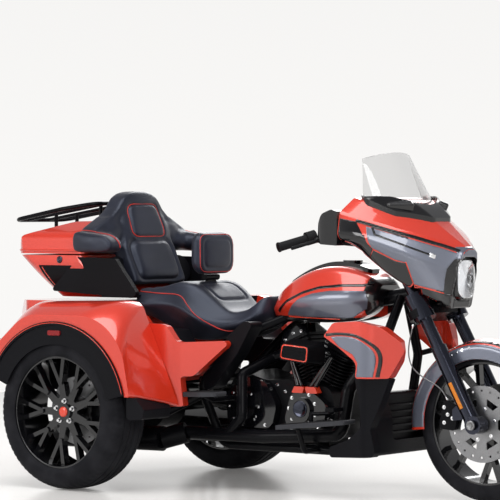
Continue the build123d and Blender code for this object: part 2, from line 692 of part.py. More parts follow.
@cache
def cam_cover():
    """Right engine covers: cam chest with a round timer cover and two pushrod foot blocks."""
    chest = side_solid([
        (CRANK_X - 110, 262, 40), (CRANK_X + 84, 250, 60), (CRANK_X + 108, 360, 44), (CRANK_X + 44, 404, 30),
        (CRANK_X - 70, 404, 30),
    ], CAM_COVER_Y - 40, CAM_COVER_Y)
    chest += rod((CRANK_X - 18, CAM_COVER_Y - 56, 336), (CRANK_X - 18, CAM_COVER_Y - 40, 336), 52)
    return chest


@cache
def pushrod_tubes():
    """Slim pushrod tubes in pairs, from the cam chest to the heads."""
    tubes = []
    for lean, starts in ((-CYLINDER_LEAN, (-34, -12)), (CYLINDER_LEAN, (34, 56))):
        for start in starts:
            foot = (CRANK_X + start - 18, CAM_COVER_Y - 18, 404 + 29)
            top = along_cylinder(lean, HEAD_FOOT - 4)
            lean_in = (top[0] + start * 0.3 + 8, CAM_COVER_Y + 20, top[2])
            stop = (foot[0] + (lean_in[0] - foot[0]) * 0.96, foot[1] + (lean_in[1] - foot[1]) * 0.2, foot[2] + (lean_in[2] - foot[2]) * 0.96)
            tubes.append(rod(foot, stop, 10))
    return together(*[shape - engine_cylinders() for shape in tubes])


def tappet_blocks():
    """Painted tappet blocks at the pushrods' feet."""
    rows = [(-44, 404.2, 3), (10, 404.2, 3), (18, 430, 5), (-30, 430, 5)]
    blocks = []
    for place, flip in ((CRANK_X - 26, 1), (CRANK_X + 14, -1)):
        shifted = [(place + flip * x, z, radius) for x, z, radius in rows]
        blocks.append(side_solid(shifted, CAM_COVER_Y - 36, CAM_COVER_Y - 2))
    return together(*[shape - engine_cylinders() - pushrod_tubes() for shape in blocks])


@cache
def gearbox_cover():
    """Right gearbox side cover with its clutch actuator bulge."""
    cover = side_solid([(-150, 262, 30), (70, 250, 50), (96, 350, 60), (40, 446, 60), (-110, 470, 40), (-158, 380, 40)],
                       CAM_COVER_Y - 44, CAM_COVER_Y)
    bulge = side_solid([(-96, 340, 10), (4, 340, 10), (4, 398, 10), (-96, 398, 10)], CAM_COVER_Y - 64, CAM_COVER_Y - 44)
    return cover - cam_cover() + bulge


@cache
def primary_cover():
    """Left primary drive cover: long rounded case with a derby and an inspection cover."""
    rows = [(-150, 262, 60), (CRANK_X + 90, 230, 70), (CRANK_X + 120, 400, 74), (-120, 448, 64)]
    cover = side_solid(rows, CASE_HALF_WIDTH, CASE_HALF_WIDTH + 40)
    cover += tapered_cover(rows, CASE_HALF_WIDTH + 40, CASE_HALF_WIDTH + 62, 0.88)
    cover += rod((-30, CASE_HALF_WIDTH + 62, 352), (-30, CASE_HALF_WIDTH + 74, 352), 70)
    return cover + rod((CRANK_X + 8, CASE_HALF_WIDTH + 62, 322), (CRANK_X + 8, CASE_HALF_WIDTH + 70, 322), 46)


AIR_CLEANER = (CRANK_X - 6, -186, 568)


def air_cleaner():
    """Wedge-fronted air cleaner between the cylinders on the right, with its intake neck."""
    x, y, z = AIR_CLEANER
    rear = rounded_face(side_plane(y + 40), [(x - 96, z - 34, 18), (x + 92, z - 52, 24), (x + 96, z + 44, 26), (x - 84, z + 56, 26)])
    face = rounded_face(side_plane(y - 44), [(x - 74, z - 26, 14), (x + 66, z - 42, 18), (x + 74, z + 30, 18), (x - 62, z + 40, 18)])
    neck = rod((x, y + 40, z), (x, -40, z), 30)
    return (loft([rear, face]) + neck) - engine_cylinders() - rocker_covers() - pushrod_tubes()


EXHAUST_RADIUS = 27
PORT_OFF_CENTRE = -34


def port_face(lean, way):
    """Start of a header on a head's outer face, and a point further along it."""
    foot = Vector(*along_cylinder(lean, HEAD_FOOT + HEAD_HEIGHT / 2))
    out = Vector(way * cos(radians(lean)), 0, -way * sin(radians(lean)))
    start = foot + out * (FIN_RADIUS - 5 + RUNNING_GAP) + Vector(0, PORT_OFF_CENTRE, 0)
    return tuple(start), tuple(start + out * 62 + Vector(0, -16, 0))



@cache
def exhaust():
    """Two black headers into one run under the right side, then a muffler on each side at the rear."""
    front_port, front_way = port_face(CYLINDER_LEAN, 1)
    rear_port, rear_way = port_face(-CYLINDER_LEAN, -1)
    front = tube([front_port, front_way, (CRANK_X + 216, -164, 430), (CRANK_X + 196, -188, 246),
                  (60, -206, 224), (-330, -206, 224)], 50, EXHAUST_RADIUS)
    rear = tube([rear_port, rear_way, (-46, -206, 476), (-30, -228, 300), (-120, -206, 226)], 34, EXHAUST_RADIUS * 0.8)
    muffler = rod((-330, -206, 224), (-420, -250, 196), 44) + rod((-420, -250, 196), (-1110, -330, 196), 52)
    muffler += rod((-1110, -330, 196), (-1150, -334, 196), 40)
    link = tube([(-300, -206, 224), (-352, -150, 214), (-352, 150, 214), (-400, 246, 200)], 40, EXHAUST_RADIUS * 0.8)
    whole = front + rear + muffler + left_of(muffler) + link
    return whole - engine_cylinders()


# Tank and console

# Place along, then corners of the left half as (y, z, radius): foot, widest, shoulder
TANK_STATIONS = [
    (16, [(52, 706, 10), (72, 738, 20), (44, 778, 20)]),
    (110, [(92, 694, 18), (138, 760, 40), (80, 852, 40)]),
    (250, [(118, 690, 24), (168, 776, 60), (96, 908, 60)]),
    (390, [(124, 694, 24), (170, 790, 60), (96, 912, 60)]),
    (490, [(112, 718, 24), (150, 800, 50), (84, 878, 44)]),
    (540, [(72, 756, 18), (98, 804, 30), (56, 842, 24)]),
]
TUNNEL_HALF = 46
CONSOLE_HALF = 52
CONSOLE_RISE = 18


@cache
def tank_form():
    return loft_along(TANK_STATIONS)


def fuel_tank():
    """Fuel tank: swelling sides, sloping tail and a tunnel for the backbone."""
    tank = tank_form() - block(-40, 560, -TUNNEL_HALF, TUNNEL_HALF, 640, 790)
    return tank - frame() - rocker_covers()


def tank_console():
    """Console along the tank's crest, with a round filler lid."""
    plan = [(70, -30, 20), (470, -CONSOLE_HALF, 30), (470, CONSOLE_HALF, 30), (70, 30, 20)]
    raised = (Pos(0, 0, CONSOLE_RISE) * tank_form()) & top_solid(plan, 780, 1000)
    lid = rod((360, 0, 880), (360, 0, 940), 40)
    return raised + lid - tank_form()


# Seats

SEAT_STATIONS = [
    (4, [(44, 712, 8), (66, 730, 14), (40, 752, 16)]),
    (-90, [(120, 642, 16), (168, 682, 24), (110, 738, 24)]),
    (-190, [(150, 610, 16), (206, 672, 30), (130, 730, 30)]),
    (-270, [(170, 600, 16), (226, 694, 30), (150, 792, 30)]),
    (-330, [(176, 606, 16), (226, 722, 30), (162, 830, 30)]),
    (-480, [(176, 668, 16), (226, 752, 24), (182, 822, 24)]),
    (-596, [(176, 700, 16), (220, 770, 20), (186, 818, 20)]),
]


@cache
def seat():
    """Two-level saddle: low rider's bucket, raised passenger pad."""
    return loft_along(SEAT_STATIONS) - tank_form() - frame()


# Place along, half width, lowest, highest, corner radius
BACK_PAD_STATIONS = [(-386, 96, 896, 1036, 40), (-368, 124, 876, 1052, 50), (-344, 126, 872, 1050, 50), (-322, 96, 900, 1016, 40)]


@cache
def rider_backrest():
    """Rider's back pad, a soft pillow shape."""
    stations = [(x, [(half, low, bend), (half, high, bend)]) for x, half, low, high, bend in BACK_PAD_STATIONS]
    return loft_along(stations)


def backrest_post():
    """Post and knuckle that carry the rider's back pad."""
    post = block(-368, -356, -30, 30, 828, 890)
    return (post + rod((-362, -46, 862), (-362, 46, 862), 14)) - rider_backrest() - seat()


ARM_Y = 322


@cache
def passenger_backrest():
    """Wrap-around passenger backrest: tall centre pad, shoulders and an armrest on each side."""
    centre = side_solid([
        (-612, 826, 20), (-690, 830, 10), (-742, 966, 10), (-806, 976, 10), (-816, 1190, 30), (-790, 1230, 30),
        (-748, 1196, 30), (-672, 960, 60),
    ], -176, 176)
    front_outline = [(-330, 966, 30), (330, 966, 30), (318, 1060, 50), (196, 1120, 60), (120, 1230, 60), (-120, 1230, 60),
                     (-196, 1120, 60), (-318, 1060, 50)]
    shoulders = front_solid(front_outline, -816, -734)
    low_front = front_solid([(-176, 820, 20), (176, 820, 20), (176, 1000, 20), (-176, 1000, 20)], -830, -600)
    arm = side_solid([(-816, 966, 20), (-640, 966, 30), (-588, 984, 24), (-640, 1036, 40), (-816, 1056, 20)], -ARM_Y - 46, -ARM_Y + 42)
    return (centre & (shoulders_room() + low_front)) + shoulders + arm + left_of(arm)


def shoulders_room():
    """Front view limits of the centre pad above the arms."""
    return front_solid([(-176, 940, 20), (176, 940, 20), (120, 1230, 60), (-120, 1230, 60)], -830, -600)


# Luggage box


def plan_rows(x_low, x_high, half, rear_radius, front_radius):
    """Plan outline of a box that is rounded at its rear and front corners."""
    return [(x_low, -half, rear_radius), (x_high, -half, front_radius), (x_high, half, front_radius), (x_low, half, rear_radius)]


# Height, rear, front, half width
BOX_LEVELS = [(774, -1036, -716, 214), (832, -1078, -744, 262), (BOX_PARTING_Z - LID_GAP, -1206, -822, 284)]


@cache
def box_form(inset):
    """The luggage box's form below the parting line, or its hollow when inset."""
    faces = []
    for z, rear, front, half in BOX_LEVELS:
        rows = plan_rows(rear + inset, front - inset, half - inset, 80 - inset, 40 - inset)
        faces.append(rounded_face(Plane(origin=(0, 0, z + (inset if z == BOX_LEVELS[0][0] else 0))), rows))
    return loft(faces)


@cache
def lid_barrel(x, bore):
    """One barrel of the lid's hinge."""
    half = HINGE_BARREL / 2
    return rod((x - half, LID_HINGE_Y, LID_HINGE_Z), (x + half, LID_HINGE_Y, LID_HINGE_Z), LID_BARREL_RADIUS, bore)


LID_PIN_RADIUS = 4
LID_BARREL_RADIUS = 8


def lid_hinge_fixed():
    """Fixed halves of the lid's hinges, on the box's left wall."""
    shapes = []
    step = HINGE_BARREL + 1
    for x in LID_HINGE_XS:
        shapes.append(rod((x - step, LID_HINGE_Y, LID_HINGE_Z), (x + step, LID_HINGE_Y, LID_HINGE_Z), LID_PIN_RADIUS))
        for place in (x - step, x + step):
            shapes.append(lid_barrel(place, 0))
            shapes.append(block(place - 10, place + 10, LID_HINGE_Y - 22, LID_HINGE_Y, LID_HINGE_Z - 18, LID_HINGE_Z - 4))
    return shapes


def lid_hinge_moving():
    """Moving halves of the lid's hinges."""
    shapes = []
    for x in LID_HINGE_XS:
        arm = block(x - 10, x + 10, LID_HINGE_Y - 22, LID_HINGE_Y, BOX_PARTING_Z + 1, BOX_PARTING_Z + 9)
        arm -= rod((x - 20, LID_HINGE_Y, LID_HINGE_Z), (x + 20, LID_HINGE_Y, LID_HINGE_Z), LID_BARREL_RADIUS - 1)
        shapes.append(lid_barrel(x, LID_PIN_RADIUS + PIN_GAP))
        shapes.append(arm)
    return shapes


def luggage_box():
    """Open-topped luggage box with its half of the lid's hinges."""
    body = box_form(0)
    for shape in lid_hinge_fixed():
        body += shape
    return body - box_form(BOX_WALL) - seat() - passenger_backrest()


@cache
def box_cheeks():
    """Black cheeks beside the passenger's seat, joined by a floor, that carry the speaker pods."""
    cheek = side_solid([(-1000, 800, 10), (-560, 776, 12), (-530, 794, 12), (-650, 940, 24), (-848, 944, 10)], -286, -262)
    floor = block(-740, -566, -262, 262, 776, 788)
    return cheek + left_of(cheek) + floor - box_form(0) - seat() - passenger_backrest()


@cache
def lid_form(inset):
    """The lid's form, or its hollow when inset."""
    rows = [
        (LID_REAR_X + inset, BOX_PARTING_Z - (1 if inset else 0), 4), (LID_FRONT_X - inset, BOX_PARTING_Z - (1 if inset else 0), 4),
        (LID_FRONT_X - inset, 1096 - inset, 20), (-960, 1094 - inset, 200), (LID_REAR_X + 46 + inset, 1034 - inset, 30),
    ]
    plan = top_solid(plan_rows(LID_REAR_X + inset, LID_FRONT_X - inset, LID_HALF_WIDTH - inset, 90 - inset, 30), 900, 1200)
    taper = front_solid([
        (-LID_HALF_WIDTH + inset, 900, 4), (LID_HALF_WIDTH - inset, 900, 4), (LID_HALF_WIDTH - 14 - inset, 1040 - inset, 40),
        (150, 1100 - inset, 120), (-150, 1100 - inset, 120), (-LID_HALF_WIDTH + 14 + inset, 1040 - inset, 40),
    ], LID_REAR_X - 10, LID_FRONT_X + 10)
    return side_solid(rows, -LID_HALF_WIDTH - 10, LID_HALF_WIDTH + 10) & plan & taper


def luggage_lid():
    """Domed lid, hinged along its left edge."""
    lid = lid_form(0) - lid_form(BOX_WALL)
    for shape in lid_hinge_moving():
        lid += shape
    return lid - lid_form(BOX_WALL)


RACK_RADIUS = 9


def luggage_rack():
    """Black tubular rack on the lid: an outer hoop, two rails and four feet."""
    rear_x, front_x, half = -1321, -868, 190
    z_rear, z_front = 1098, 1170
    hoop = tube([(front_x, 0, z_front), (front_x, -half + 40, z_front), (-1020, -half, 1146), (rear_x + 20, -half + 20, z_rear),
                 (rear_x, 0, z_rear)], 60, RACK_RADIUS)
    rack = hoop + left_of(hoop)
    slope = (z_front - z_rear) / (front_x - rear_x)
    for x in (-900, -1150):
        foot = rod((x, -70, 1000), (x, -70, z_front + (x - front_x) * slope), 8)
        rack += foot + left_of(foot)
    for y in (-70, 70):
        rack += rod((front_x, y, z_front), (rear_x + 4, y, z_rear), 7)
    return rack - lid_form(0)


def speaker_pods():
    """Rear speakers in round pods, inside the cheeks."""
    pod = rod((-742, -216, 874), (-684, -206, 890), 60) + rod((-684, -206, 890), (-678, -205, 891.6), 52)
    return pair(pod - luggage_box() - box_cheeks() - passenger_backrest() - seat())


# Rear body

# Place across, then corners as (x, z, radius): rear foot, rear bend, rear shoulder, front shoulder, front foot
FENDER_STATIONS = [
    (-FENDER_INNER_Y, [(-1110, 440, 10), (-1106, 572, 70), (-900, 760, 90), (-392, 772, 60), (-196, 346, 10)]),
    (-560, [(-1084, 440, 10), (-1076, 562, 80), (-856, 757, 120), (-376, 768, 130), (-226, 376, 10)]),
    (-FENDER_OUTER_Y, [(-1026, 440, 10), (-1018, 544, 90), (-812, 716, 190), (-326, 716, 240), (-262, 394, 10)]),
]


@cache
def fender_form():
    """Outer form of the right rear wing."""
    return loft([rounded_face(side_plane(y), rows) for y, rows in FENDER_STATIONS])


def wheel_well():
    """Room for the right rear wheel inside the body."""
    return rod((REAR_AXLE_X, -FENDER_OUTER_Y + 4, REAR_TYRE_RADIUS), (REAR_AXLE_X, -FENDER_INNER_Y, REAR_TYRE_RADIUS), WHEEL_WELL_RADIUS)


@cache
def rear_fender():
    """Right rear wing: crowned top, swept front, open round the wheel."""
    opening = rod((REAR_AXLE_X, -FENDER_OUTER_Y - 40, REAR_TYRE_RADIUS), (REAR_AXLE_X, -FENDER_OUTER_Y + 30, REAR_TYRE_RADIUS), ARCH_RADIUS)
    below = block(-1100, -150, -FENDER_OUTER_Y - 5, -FENDER_INNER_Y, 200, 345)
    return fender_form() - wheel_well() - opening - below


ARCH_FRONT_ANGLE = 13
ARCH_REAR_ANGLE = 158


def arch_trim():
    """Right black arch trim: a broad flat band that hides the tyre's top, with a lip at its rim."""
    y_low, y_high = -FENDER_OUTER_Y - 1, -FENDER_OUTER_Y + 4
    centre = (REAR_AXLE_X, REAR_TYRE_RADIUS)
    band = rod((centre[0], y_low, centre[1]), (centre[0], y_high, centre[1]), ARCH_RADIUS - 0.5, ARCH_TRIM_INNER)
    band += rod((centre[0], y_low - 6, centre[1]), (centre[0], y_low, centre[1]), ARCH_RADIUS - 0.5, ARCH_RADIUS - 16)
    reach = 3 * ARCH_RADIUS
    wedge = [(centre[0], centre[1], 0)]
    for angle in (ARCH_FRONT_ANGLE, 60, 110, ARCH_REAR_ANGLE):
        wedge.append((centre[0] + reach * cos(radians(angle)), centre[1] + reach * sin(radians(angle)), 0))
    return band & side_solid(wedge, y_low - 10, y_high + 10)


def arch_lamp():
    """Right red side marker on the arch trim."""
    z = REAR_TYRE_RADIUS + (ARCH_RADIUS + ARCH_TRIM_INNER) / 2
    y = -FENDER_OUTER_Y - 1
    return side_solid([(REAR_AXLE_X - 32, z - 10, 6), (REAR_AXLE_X + 32, z - 10, 6), (REAR_AXLE_X + 32, z + 10, 6),
                       (REAR_AXLE_X - 32, z + 10, 6)], y - 6, y)


def fender_guard():
    """Right black stone guard below the wing's front."""
    rows = [(-296, 300, 20), (-216, 306, 12), (-206, 344.5, 4), (-250, 392, 10), (-296, 392, 10)]
    return side_solid(rows, -648, -470) - rear_fender()


def trunk_plan(inset, rear_x, front_x):
    """Plan of the boot, narrower at its mouth, or of its hollow when inset."""
    half = [(rear_x, -TRUNK_MOUTH_HALF + inset, 12), (TRUNK_CORNER_X + inset / 2, -FENDER_INNER_Y + inset, 40), (front_x, -FENDER_INNER_Y + inset, 2)]
    return half + [(x, -y, radius) for x, y, radius in reversed(half)]


@cache
def trunk_body():
    """Centre of the rear body: a hollow boot with its mouth at the rear, and a sloping deck on each side."""
    rows = [(TRUNK_REAR_X, TRUNK_FLOOR_Z, 10), (TRUNK_FRONT_X, TRUNK_FLOOR_Z, 20), (TRUNK_FRONT_X, TRUNK_TOP_Z, 30),
            (TRUNK_REAR_X + 90, TRUNK_TOP_Z, 60), (TRUNK_REAR_X, TRUNK_TOP_Z - 60, 30)]
    body = side_solid(rows, -FENDER_INNER_Y, FENDER_INNER_Y) & top_solid(trunk_plan(0, TRUNK_REAR_X, TRUNK_FRONT_X), 300, 800)
    hollow = top_solid(trunk_plan(TRUNK_WALL, TRUNK_REAR_X - 8, TRUNK_FRONT_X - TRUNK_WALL), TRUNK_FLOOR_Z + TRUNK_WALL, TRUNK_TOP_Z - 74)
    deck_rows = [(TRUNK_FRONT_X, 560, 2), (-420, 560, 10), (-420, 610, 10), (-500, 700, 30), (TRUNK_FRONT_X, TRUNK_TOP_Z - 12, 2)]
    deck = side_solid(deck_rows, -FENDER_INNER_Y, -246)
    return body - hollow + deck + left_of(deck) + door_hinge_fixed()


DOOR_HALF = 238
DOOR_LOW_Z = 402
DOOR_HIGH_Z = TRUNK_TOP_Z - 78
DOOR_HINGE_X = TRUNK_REAR_X - 14
DOOR_HINGE_Z = DOOR_HIGH_Z + 14
HINGE_PIN_RADIUS = 5
HINGE_BARREL_RADIUS = 10
HINGE_BARREL = 20
DOOR_HINGE_Y = 160


def door_hinge(y, length, bore):
    """One barrel of the boot door's hinge."""
    return rod((DOOR_HINGE_X, y - length / 2, DOOR_HINGE_Z), (DOOR_HINGE_X, y + length / 2, DOOR_HINGE_Z), HINGE_BARREL_RADIUS, bore)


def door_hinge_fixed():
    """Fixed halves of the boot door's hinges: two barrels, their arms and the pin."""
    step = HINGE_BARREL + 1
    half = together_fused([
        door_hinge(DOOR_HINGE_Y - step, HINGE_BARREL, 0), door_hinge(DOOR_HINGE_Y + step, HINGE_BARREL, 0),
        rod((DOOR_HINGE_X, DOOR_HINGE_Y - step, DOOR_HINGE_Z), (DOOR_HINGE_X, DOOR_HINGE_Y + step, DOOR_HINGE_Z), HINGE_PIN_RADIUS),
    ] + [
        block(DOOR_HINGE_X, TRUNK_REAR_X + 20, y - HINGE_BARREL / 2, y + HINGE_BARREL / 2, DOOR_HINGE_Z - 8, DOOR_HINGE_Z + 8)
        for y in (DOOR_HINGE_Y - step, DOOR_HINGE_Y + step)
    ])
    return half + left_of(half)


def together_fused(shapes):
    """One shape from several that meet."""
    whole = shapes[0]
    for shape in shapes[1:]:
        whole += shape
    return whole



def trunk_door():
    """Rear boot door, hinged along its top edge, with a pull lip."""
    plate = front_solid([(-DOOR_HALF, DOOR_LOW_Z, 40), (DOOR_HALF, DOOR_LOW_Z, 40), (DOOR_HALF, DOOR_HIGH_Z, 24), (-DOOR_HALF, DOOR_HIGH_Z, 24)],
                        TRUNK_REAR_X - MOVING_GAP - DOOR_THICKNESS, TRUNK_REAR_X - MOVING_GAP)
    lip = front_solid([(-120, DOOR_LOW_Z + 40, 12), (120, DOOR_LOW_Z + 40, 12), (120, DOOR_LOW_Z + 66, 12), (-120, DOOR_LOW_Z + 66, 12)],
                      TRUNK_REAR_X - MOVING_GAP - DOOR_THICKNESS - 14, TRUNK_REAR_X - MOVING_GAP - DOOR_THICKNESS)
    arm = block(DOOR_HINGE_X - 9, DOOR_HINGE_X + 5, DOOR_HINGE_Y - HINGE_BARREL / 2, DOOR_HINGE_Y + HINGE_BARREL / 2,
                DOOR_HIGH_Z - 6, DOOR_HINGE_Z)
    arm -= rod((DOOR_HINGE_X, DOOR_HINGE_Y - 20, DOOR_HINGE_Z), (DOOR_HINGE_X, DOOR_HINGE_Y + 20, DOOR_HINGE_Z), HINGE_BARREL_RADIUS - 1)
    moving = arm + door_hinge(DOOR_HINGE_Y, HINGE_BARREL, HINGE_PIN_RADIUS + PIN_GAP)
    return plate + lip + moving + left_of(moving)


LAMP_RISE = 14


def tail_lamps():
    """Tail lamps that follow the wings' sloping rear faces."""
    outline = [(-628, 524, 20), (-466, 524, 20), (-466, 606, 24), (-600, 606, 30)]
    lamp = (Pos(-LAMP_RISE, 0, 6) * fender_form()) & front_solid(outline, -1160, -960)
    return pair(lamp - fender_form())


PANEL_OUTLINE = [(-420, 684, 10), (-290, 680, 16), (-262, 672, 20), (-224, 606, 24), (-56, 612, 14), (-124, 530, 60), (-174, 468, 24),
                 (-214, 468, 12), (-204, 346, 8), (-300, 346, 8)]
PANEL_SKIN = 26
TRAY_DROP = 14


def panel_plan(inset):
    """Plan of the side panel's curved outer face, moved inwards by an inset, back to the frame."""
    return [(-420, -429.5 + inset, 2), (-244 - 0.4 * inset, -429.5 + inset, 130), (-48 - 0.9 * inset, -254 + 0.4 * inset, 12), (-84 - inset, -232, 4), (-420, -232, 2)]


@cache
def side_panel():
    """Right painted panel: a curved skin from the wing's front towards the engine."""
    skin = top_solid(panel_plan(0), 300, 700) - top_solid(panel_plan(PANEL_SKIN), 290, 710)
    panel = (side_solid(PANEL_OUTLINE, -440, -230) & skin) - rear_fender() - trunk_body() - seat() - frame()
    return max(panel.solids(), key=lambda solid: solid.volume)


def seat_tray():
    """Right black tray inside the painted panel, below the seat's side."""
    outline = [(-410, 660, 10), (-300, 652, 16), (-256, 596, 20), (-110, 594, 10), (-176, 500, 30), (-400, 500, 8)]
    tray = side_solid(outline, -440, -230) & top_solid(panel_plan(PANEL_SKIN), 300, 700)
    return tray - side_panel() - rear_fender() - trunk_body() - seat() - frame() - exhaust() - gearbox_cover() - trailing_arms()


def frame_cover():
    """Right black cover over the frame's diagonal tube, below the seat."""
    outline = [(-88, 632, 20), (-10, 690, 20), (40, 690, 16), (-40, 560, 20), (-160, 420, 20), (-210, 400, 16), (-214, 462, 12), (-180, 474, 20)]
    return side_solid(outline, -246, -166) - side_panel() - seat_tray() - seat() - exhaust() - gearbox_cover()


# Rear axle

AXLE_BEAM_RADIUS = 40
DIFF_RADIUS = 104
KNUCKLE_RADIUS = 58
KNUCKLE_Y = REAR_WHEEL_Y - REAR_HUB_IN - REAR_DISC_THICKNESS - MOVING_GAP


@cache
def rear_axle():
    """Axle beam with a final-drive case, a knuckle at each end and the wheel spindles."""
    x, z = REAR_AXLE_X, REAR_TYRE_RADIUS
    beam = rod((x, -KNUCKLE_Y, z), (x, KNUCKLE_Y, z), AXLE_BEAM_RADIUS)
    case = rod((x, -70, z), (x, 70, z), DIFF_RADIUS) & block(x - 200, x + 200, -80, 80, z - 104, TRUNK_FLOOR_Z - 6)
    spindle_end = REAR_WHEEL_Y + REAR_HUB_OUT - 18
    spindle = rod((x, -spindle_end, z), (x, spindle_end, z), SPINDLE_RADIUS)
    knuckles = rod((x, -KNUCKLE_Y, z), (x, -KNUCKLE_Y + 34, z), KNUCKLE_RADIUS)
    return beam + case + spindle + knuckles + left_of(knuckles)


@cache
def trailing_arms():
    """Trailing arms from the frame to the axle, with a coil-over damper on each."""
    arm = tube([(REAR_AXLE_X + AXLE_BEAM_RADIUS + 0.5, -330, REAR_TYRE_RADIUS), (-420, -260, 300), (CRADLE_REAR_X - 96, -175, 380)], 60, 22)
    return pair(arm - frame() - exhaust() - rear_axle())


def rear_dampers():
    """Coil-over dampers ahead of the axle."""
    damper = rod((-560, -300, 330), (-500, -300, 560), 26) + rod((-545, -300, 386), (-512, -300, 512), 36)
    return pair(damper - trailing_arms() - trunk_body() - rear_axle())


def rear_calipers():
    """Rear calipers ahead of the axle, slotted over the discs."""
    y_disc = -REAR_WHEEL_Y + REAR_HUB_IN
    body = side_solid([(84, -44, 14), (152, -40, 14), (152, 44, 14), (84, 44, 14)], y_disc - 14, y_disc + 36)
    body -= side_solid([(0, -80, 0), (145.5, -80, 0), (145.5, 80, 0), (0, 80, 0)], y_disc - 5.5, y_disc + REAR_DISC_THICKNESS + 5.5)
    arm = side_solid([(40, -26, 8), (100, -26, 8), (100, 26, 8), (40, 26, 8)], y_disc + REAR_DISC_THICKNESS + MOVING_GAP, y_disc + 36)
    return pair(Pos(REAR_AXLE_X, 0, REAR_TYRE_RADIUS) * (body + arm) - rear_axle())


# Front lowers, chin and foot controls


@cache
def lower_fairing():
    """Right painted leg shield: a hooked blade round the leg opening, swept in towards the front."""
    outline = [(440, 646, 6), (484, 700, 30), (600, 709, 90), (676, 686, 50), (727, 628, 30), (739, 590, 20), (722, 545, 30), (698, 484, 10),
               (587, 484, 10), (593, 545, 40), (507, 606, 80)]
    plan = [(430, -326, 8), (640, -318, 80), (744, -192, 10), (724, -176, 4), (622, -284, 56), (430, -292, 8)]
    return side_solid(outline, -340, -160) & top_solid(plan, 460, 720)


@cache
def lower_leg():
    """Right black leg below the leg shield, waisted, down to the chin cover's side."""
    outline = [(574, 483.7, 6), (700, 483.7, 6), (668, 380, 60), (636, 286, 30), (652, 190, 12), (640, 174, 6), (448, 166, 14), (446, 206, 12),
               (540, 240, 40), (606, 292, 40), (596, 390, 60)]
    plan = [(430, -292, 10), (610, -306, 50), (716, -232, 20), (700, -200, 4), (600, -266, 40), (430, -252, 10)]
    return side_solid(outline, -320, -170) & top_solid(plan, 100, 520)


CHIN_SLATS = 6
CHIN_MOUTH = (124, 232, 394)


def chin_cover():
    """Black cover ahead of the engine, between the two legs, with slats across its cooling mouth."""
    rows = [(560, 174, 10), (640, 176, 14), (634, 320, 40), (604, 420, 14), (566, 420, 10)]
    cover = side_solid(rows, -250, 250)
    half, low, high = CHIN_MOUTH
    cover -= front_solid([(-half, low, 16), (half, low, 16), (half, high, 16), (-half, high, 16)], 590, 700)
    pitch = (high - low) / CHIN_SLATS
    for row in range(1, CHIN_SLATS):
        cover += block(586, 612, -half - 2, half + 2, low + row * pitch - 4, low + row * pitch + 4)
    return cover - frame() - lower_leg() - left_of(lower_leg())


def guard_bars():
    """Bars that carry the leg shields, from the frame's front tubes."""
    bar = tube([(CRADLE_FRONT_X + 54, -CRADLE_Y, 560), (620, -230, 580), (640, -296, 594)], 30, 11)
    return pair(bar - lower_fairing() - frame())


BOARD_THICKNESS = 18
RIDER_BOARD_X = (206, 540)
RIDER_BOARD_Z = (266, 300)


def board_top(x):
    """Height of the rider's board's top at a place along."""
    share = (x - RIDER_BOARD_X[0]) / (RIDER_BOARD_X[1] - RIDER_BOARD_X[0])
    return RIDER_BOARD_Z[0] + (RIDER_BOARD_Z[1] - RIDER_BOARD_Z[0]) * share + BOARD_THICKNESS


def footboard(x_rear, x_front, y_outer, y_inner, z_rear, z_front):
    """Rounded board with a raised rubber mat."""
    rows = [(x_rear, z_rear, 4), (x_front, z_front, 8), (x_front - 4, z_front + BOARD_THICKNESS, 8), (x_rear, z_rear + BOARD_THICKNESS, 4)]
    plan = [(x_rear, y_outer + 16, 20), (x_front - 70, y_outer, 40), (x_front, y_outer + 20, 30), (x_front, y_inner, 12), (x_rear, y_inner, 12)]
    return side_solid(rows, y_outer - 5, y_inner + 5) & top_solid(plan, z_rear - 60, z_front + 80)


@cache
def footboards():
    """Rider's boards and the passenger's boards."""
    rider = footboard(*RIDER_BOARD_X, -352, -240, *RIDER_BOARD_Z)
    passenger = footboard(-206, -36, -420, -318, 386, 392)
    return together(pair(rider), pair(passenger))


def board_brackets():
    """Steel brackets that carry the boards, from the frame and from the engine's side."""
    rider = tube([(300, -CRADLE_Y - FRAME_TUBE - 0.4, CRADLE_Z), (300, -256, CRADLE_Z), (300, -300, 274)], 24, 10)
    passenger = tube([(-120, CAM_COVER_Y - 44, 372), (-120, -300, 372), (-120, -380, 396)], 24, 10)
    right = (rider + passenger) - footboards() - exhaust() - frame()
    return together(right, left_of(right) - primary_cover())


def foot_pedals():
    """Brake pedal on the right, and a heel-and-toe gear lever on the left."""
    brake_x, gear_x = 330, 300
    brake = tube([(brake_x, -252, 330), (420, -246, 336), (470, -270, 356)], 24, 8) + block(452, 492, -330, -262, 350, 364)
    brake += rod((brake_x, -252, board_top(brake_x) + RUNNING_GAP), (brake_x, -252, 338), 9)
    gear = tube([(180, 248, 360), (gear_x, 250, 326), (440, 248, 350)], 30, 8)
    gear += rod((gear_x, 250, board_top(gear_x) + RUNNING_GAP), (gear_x, 250, 334), 9)
    gear += rod((180, 244, 360), (180, 304, 362), 11) + rod((440, 244, 350), (440, 304, 352), 11)
    return together(brake - footboards(), gear - footboards())


def fork_reflectors():
    """Amber side reflectors on the fork sliders."""
    low, high = fork_point(372), fork_point(470)
    strip = rod((low[0] - 4, -FORK_LEG_Y - FORK_SLIDER_RADIUS + 4, low[2]), (high[0] - 4, -FORK_LEG_Y - FORK_SLIDER_RADIUS + 4, high[2]), 9)
    return pair(strip - fork_legs())


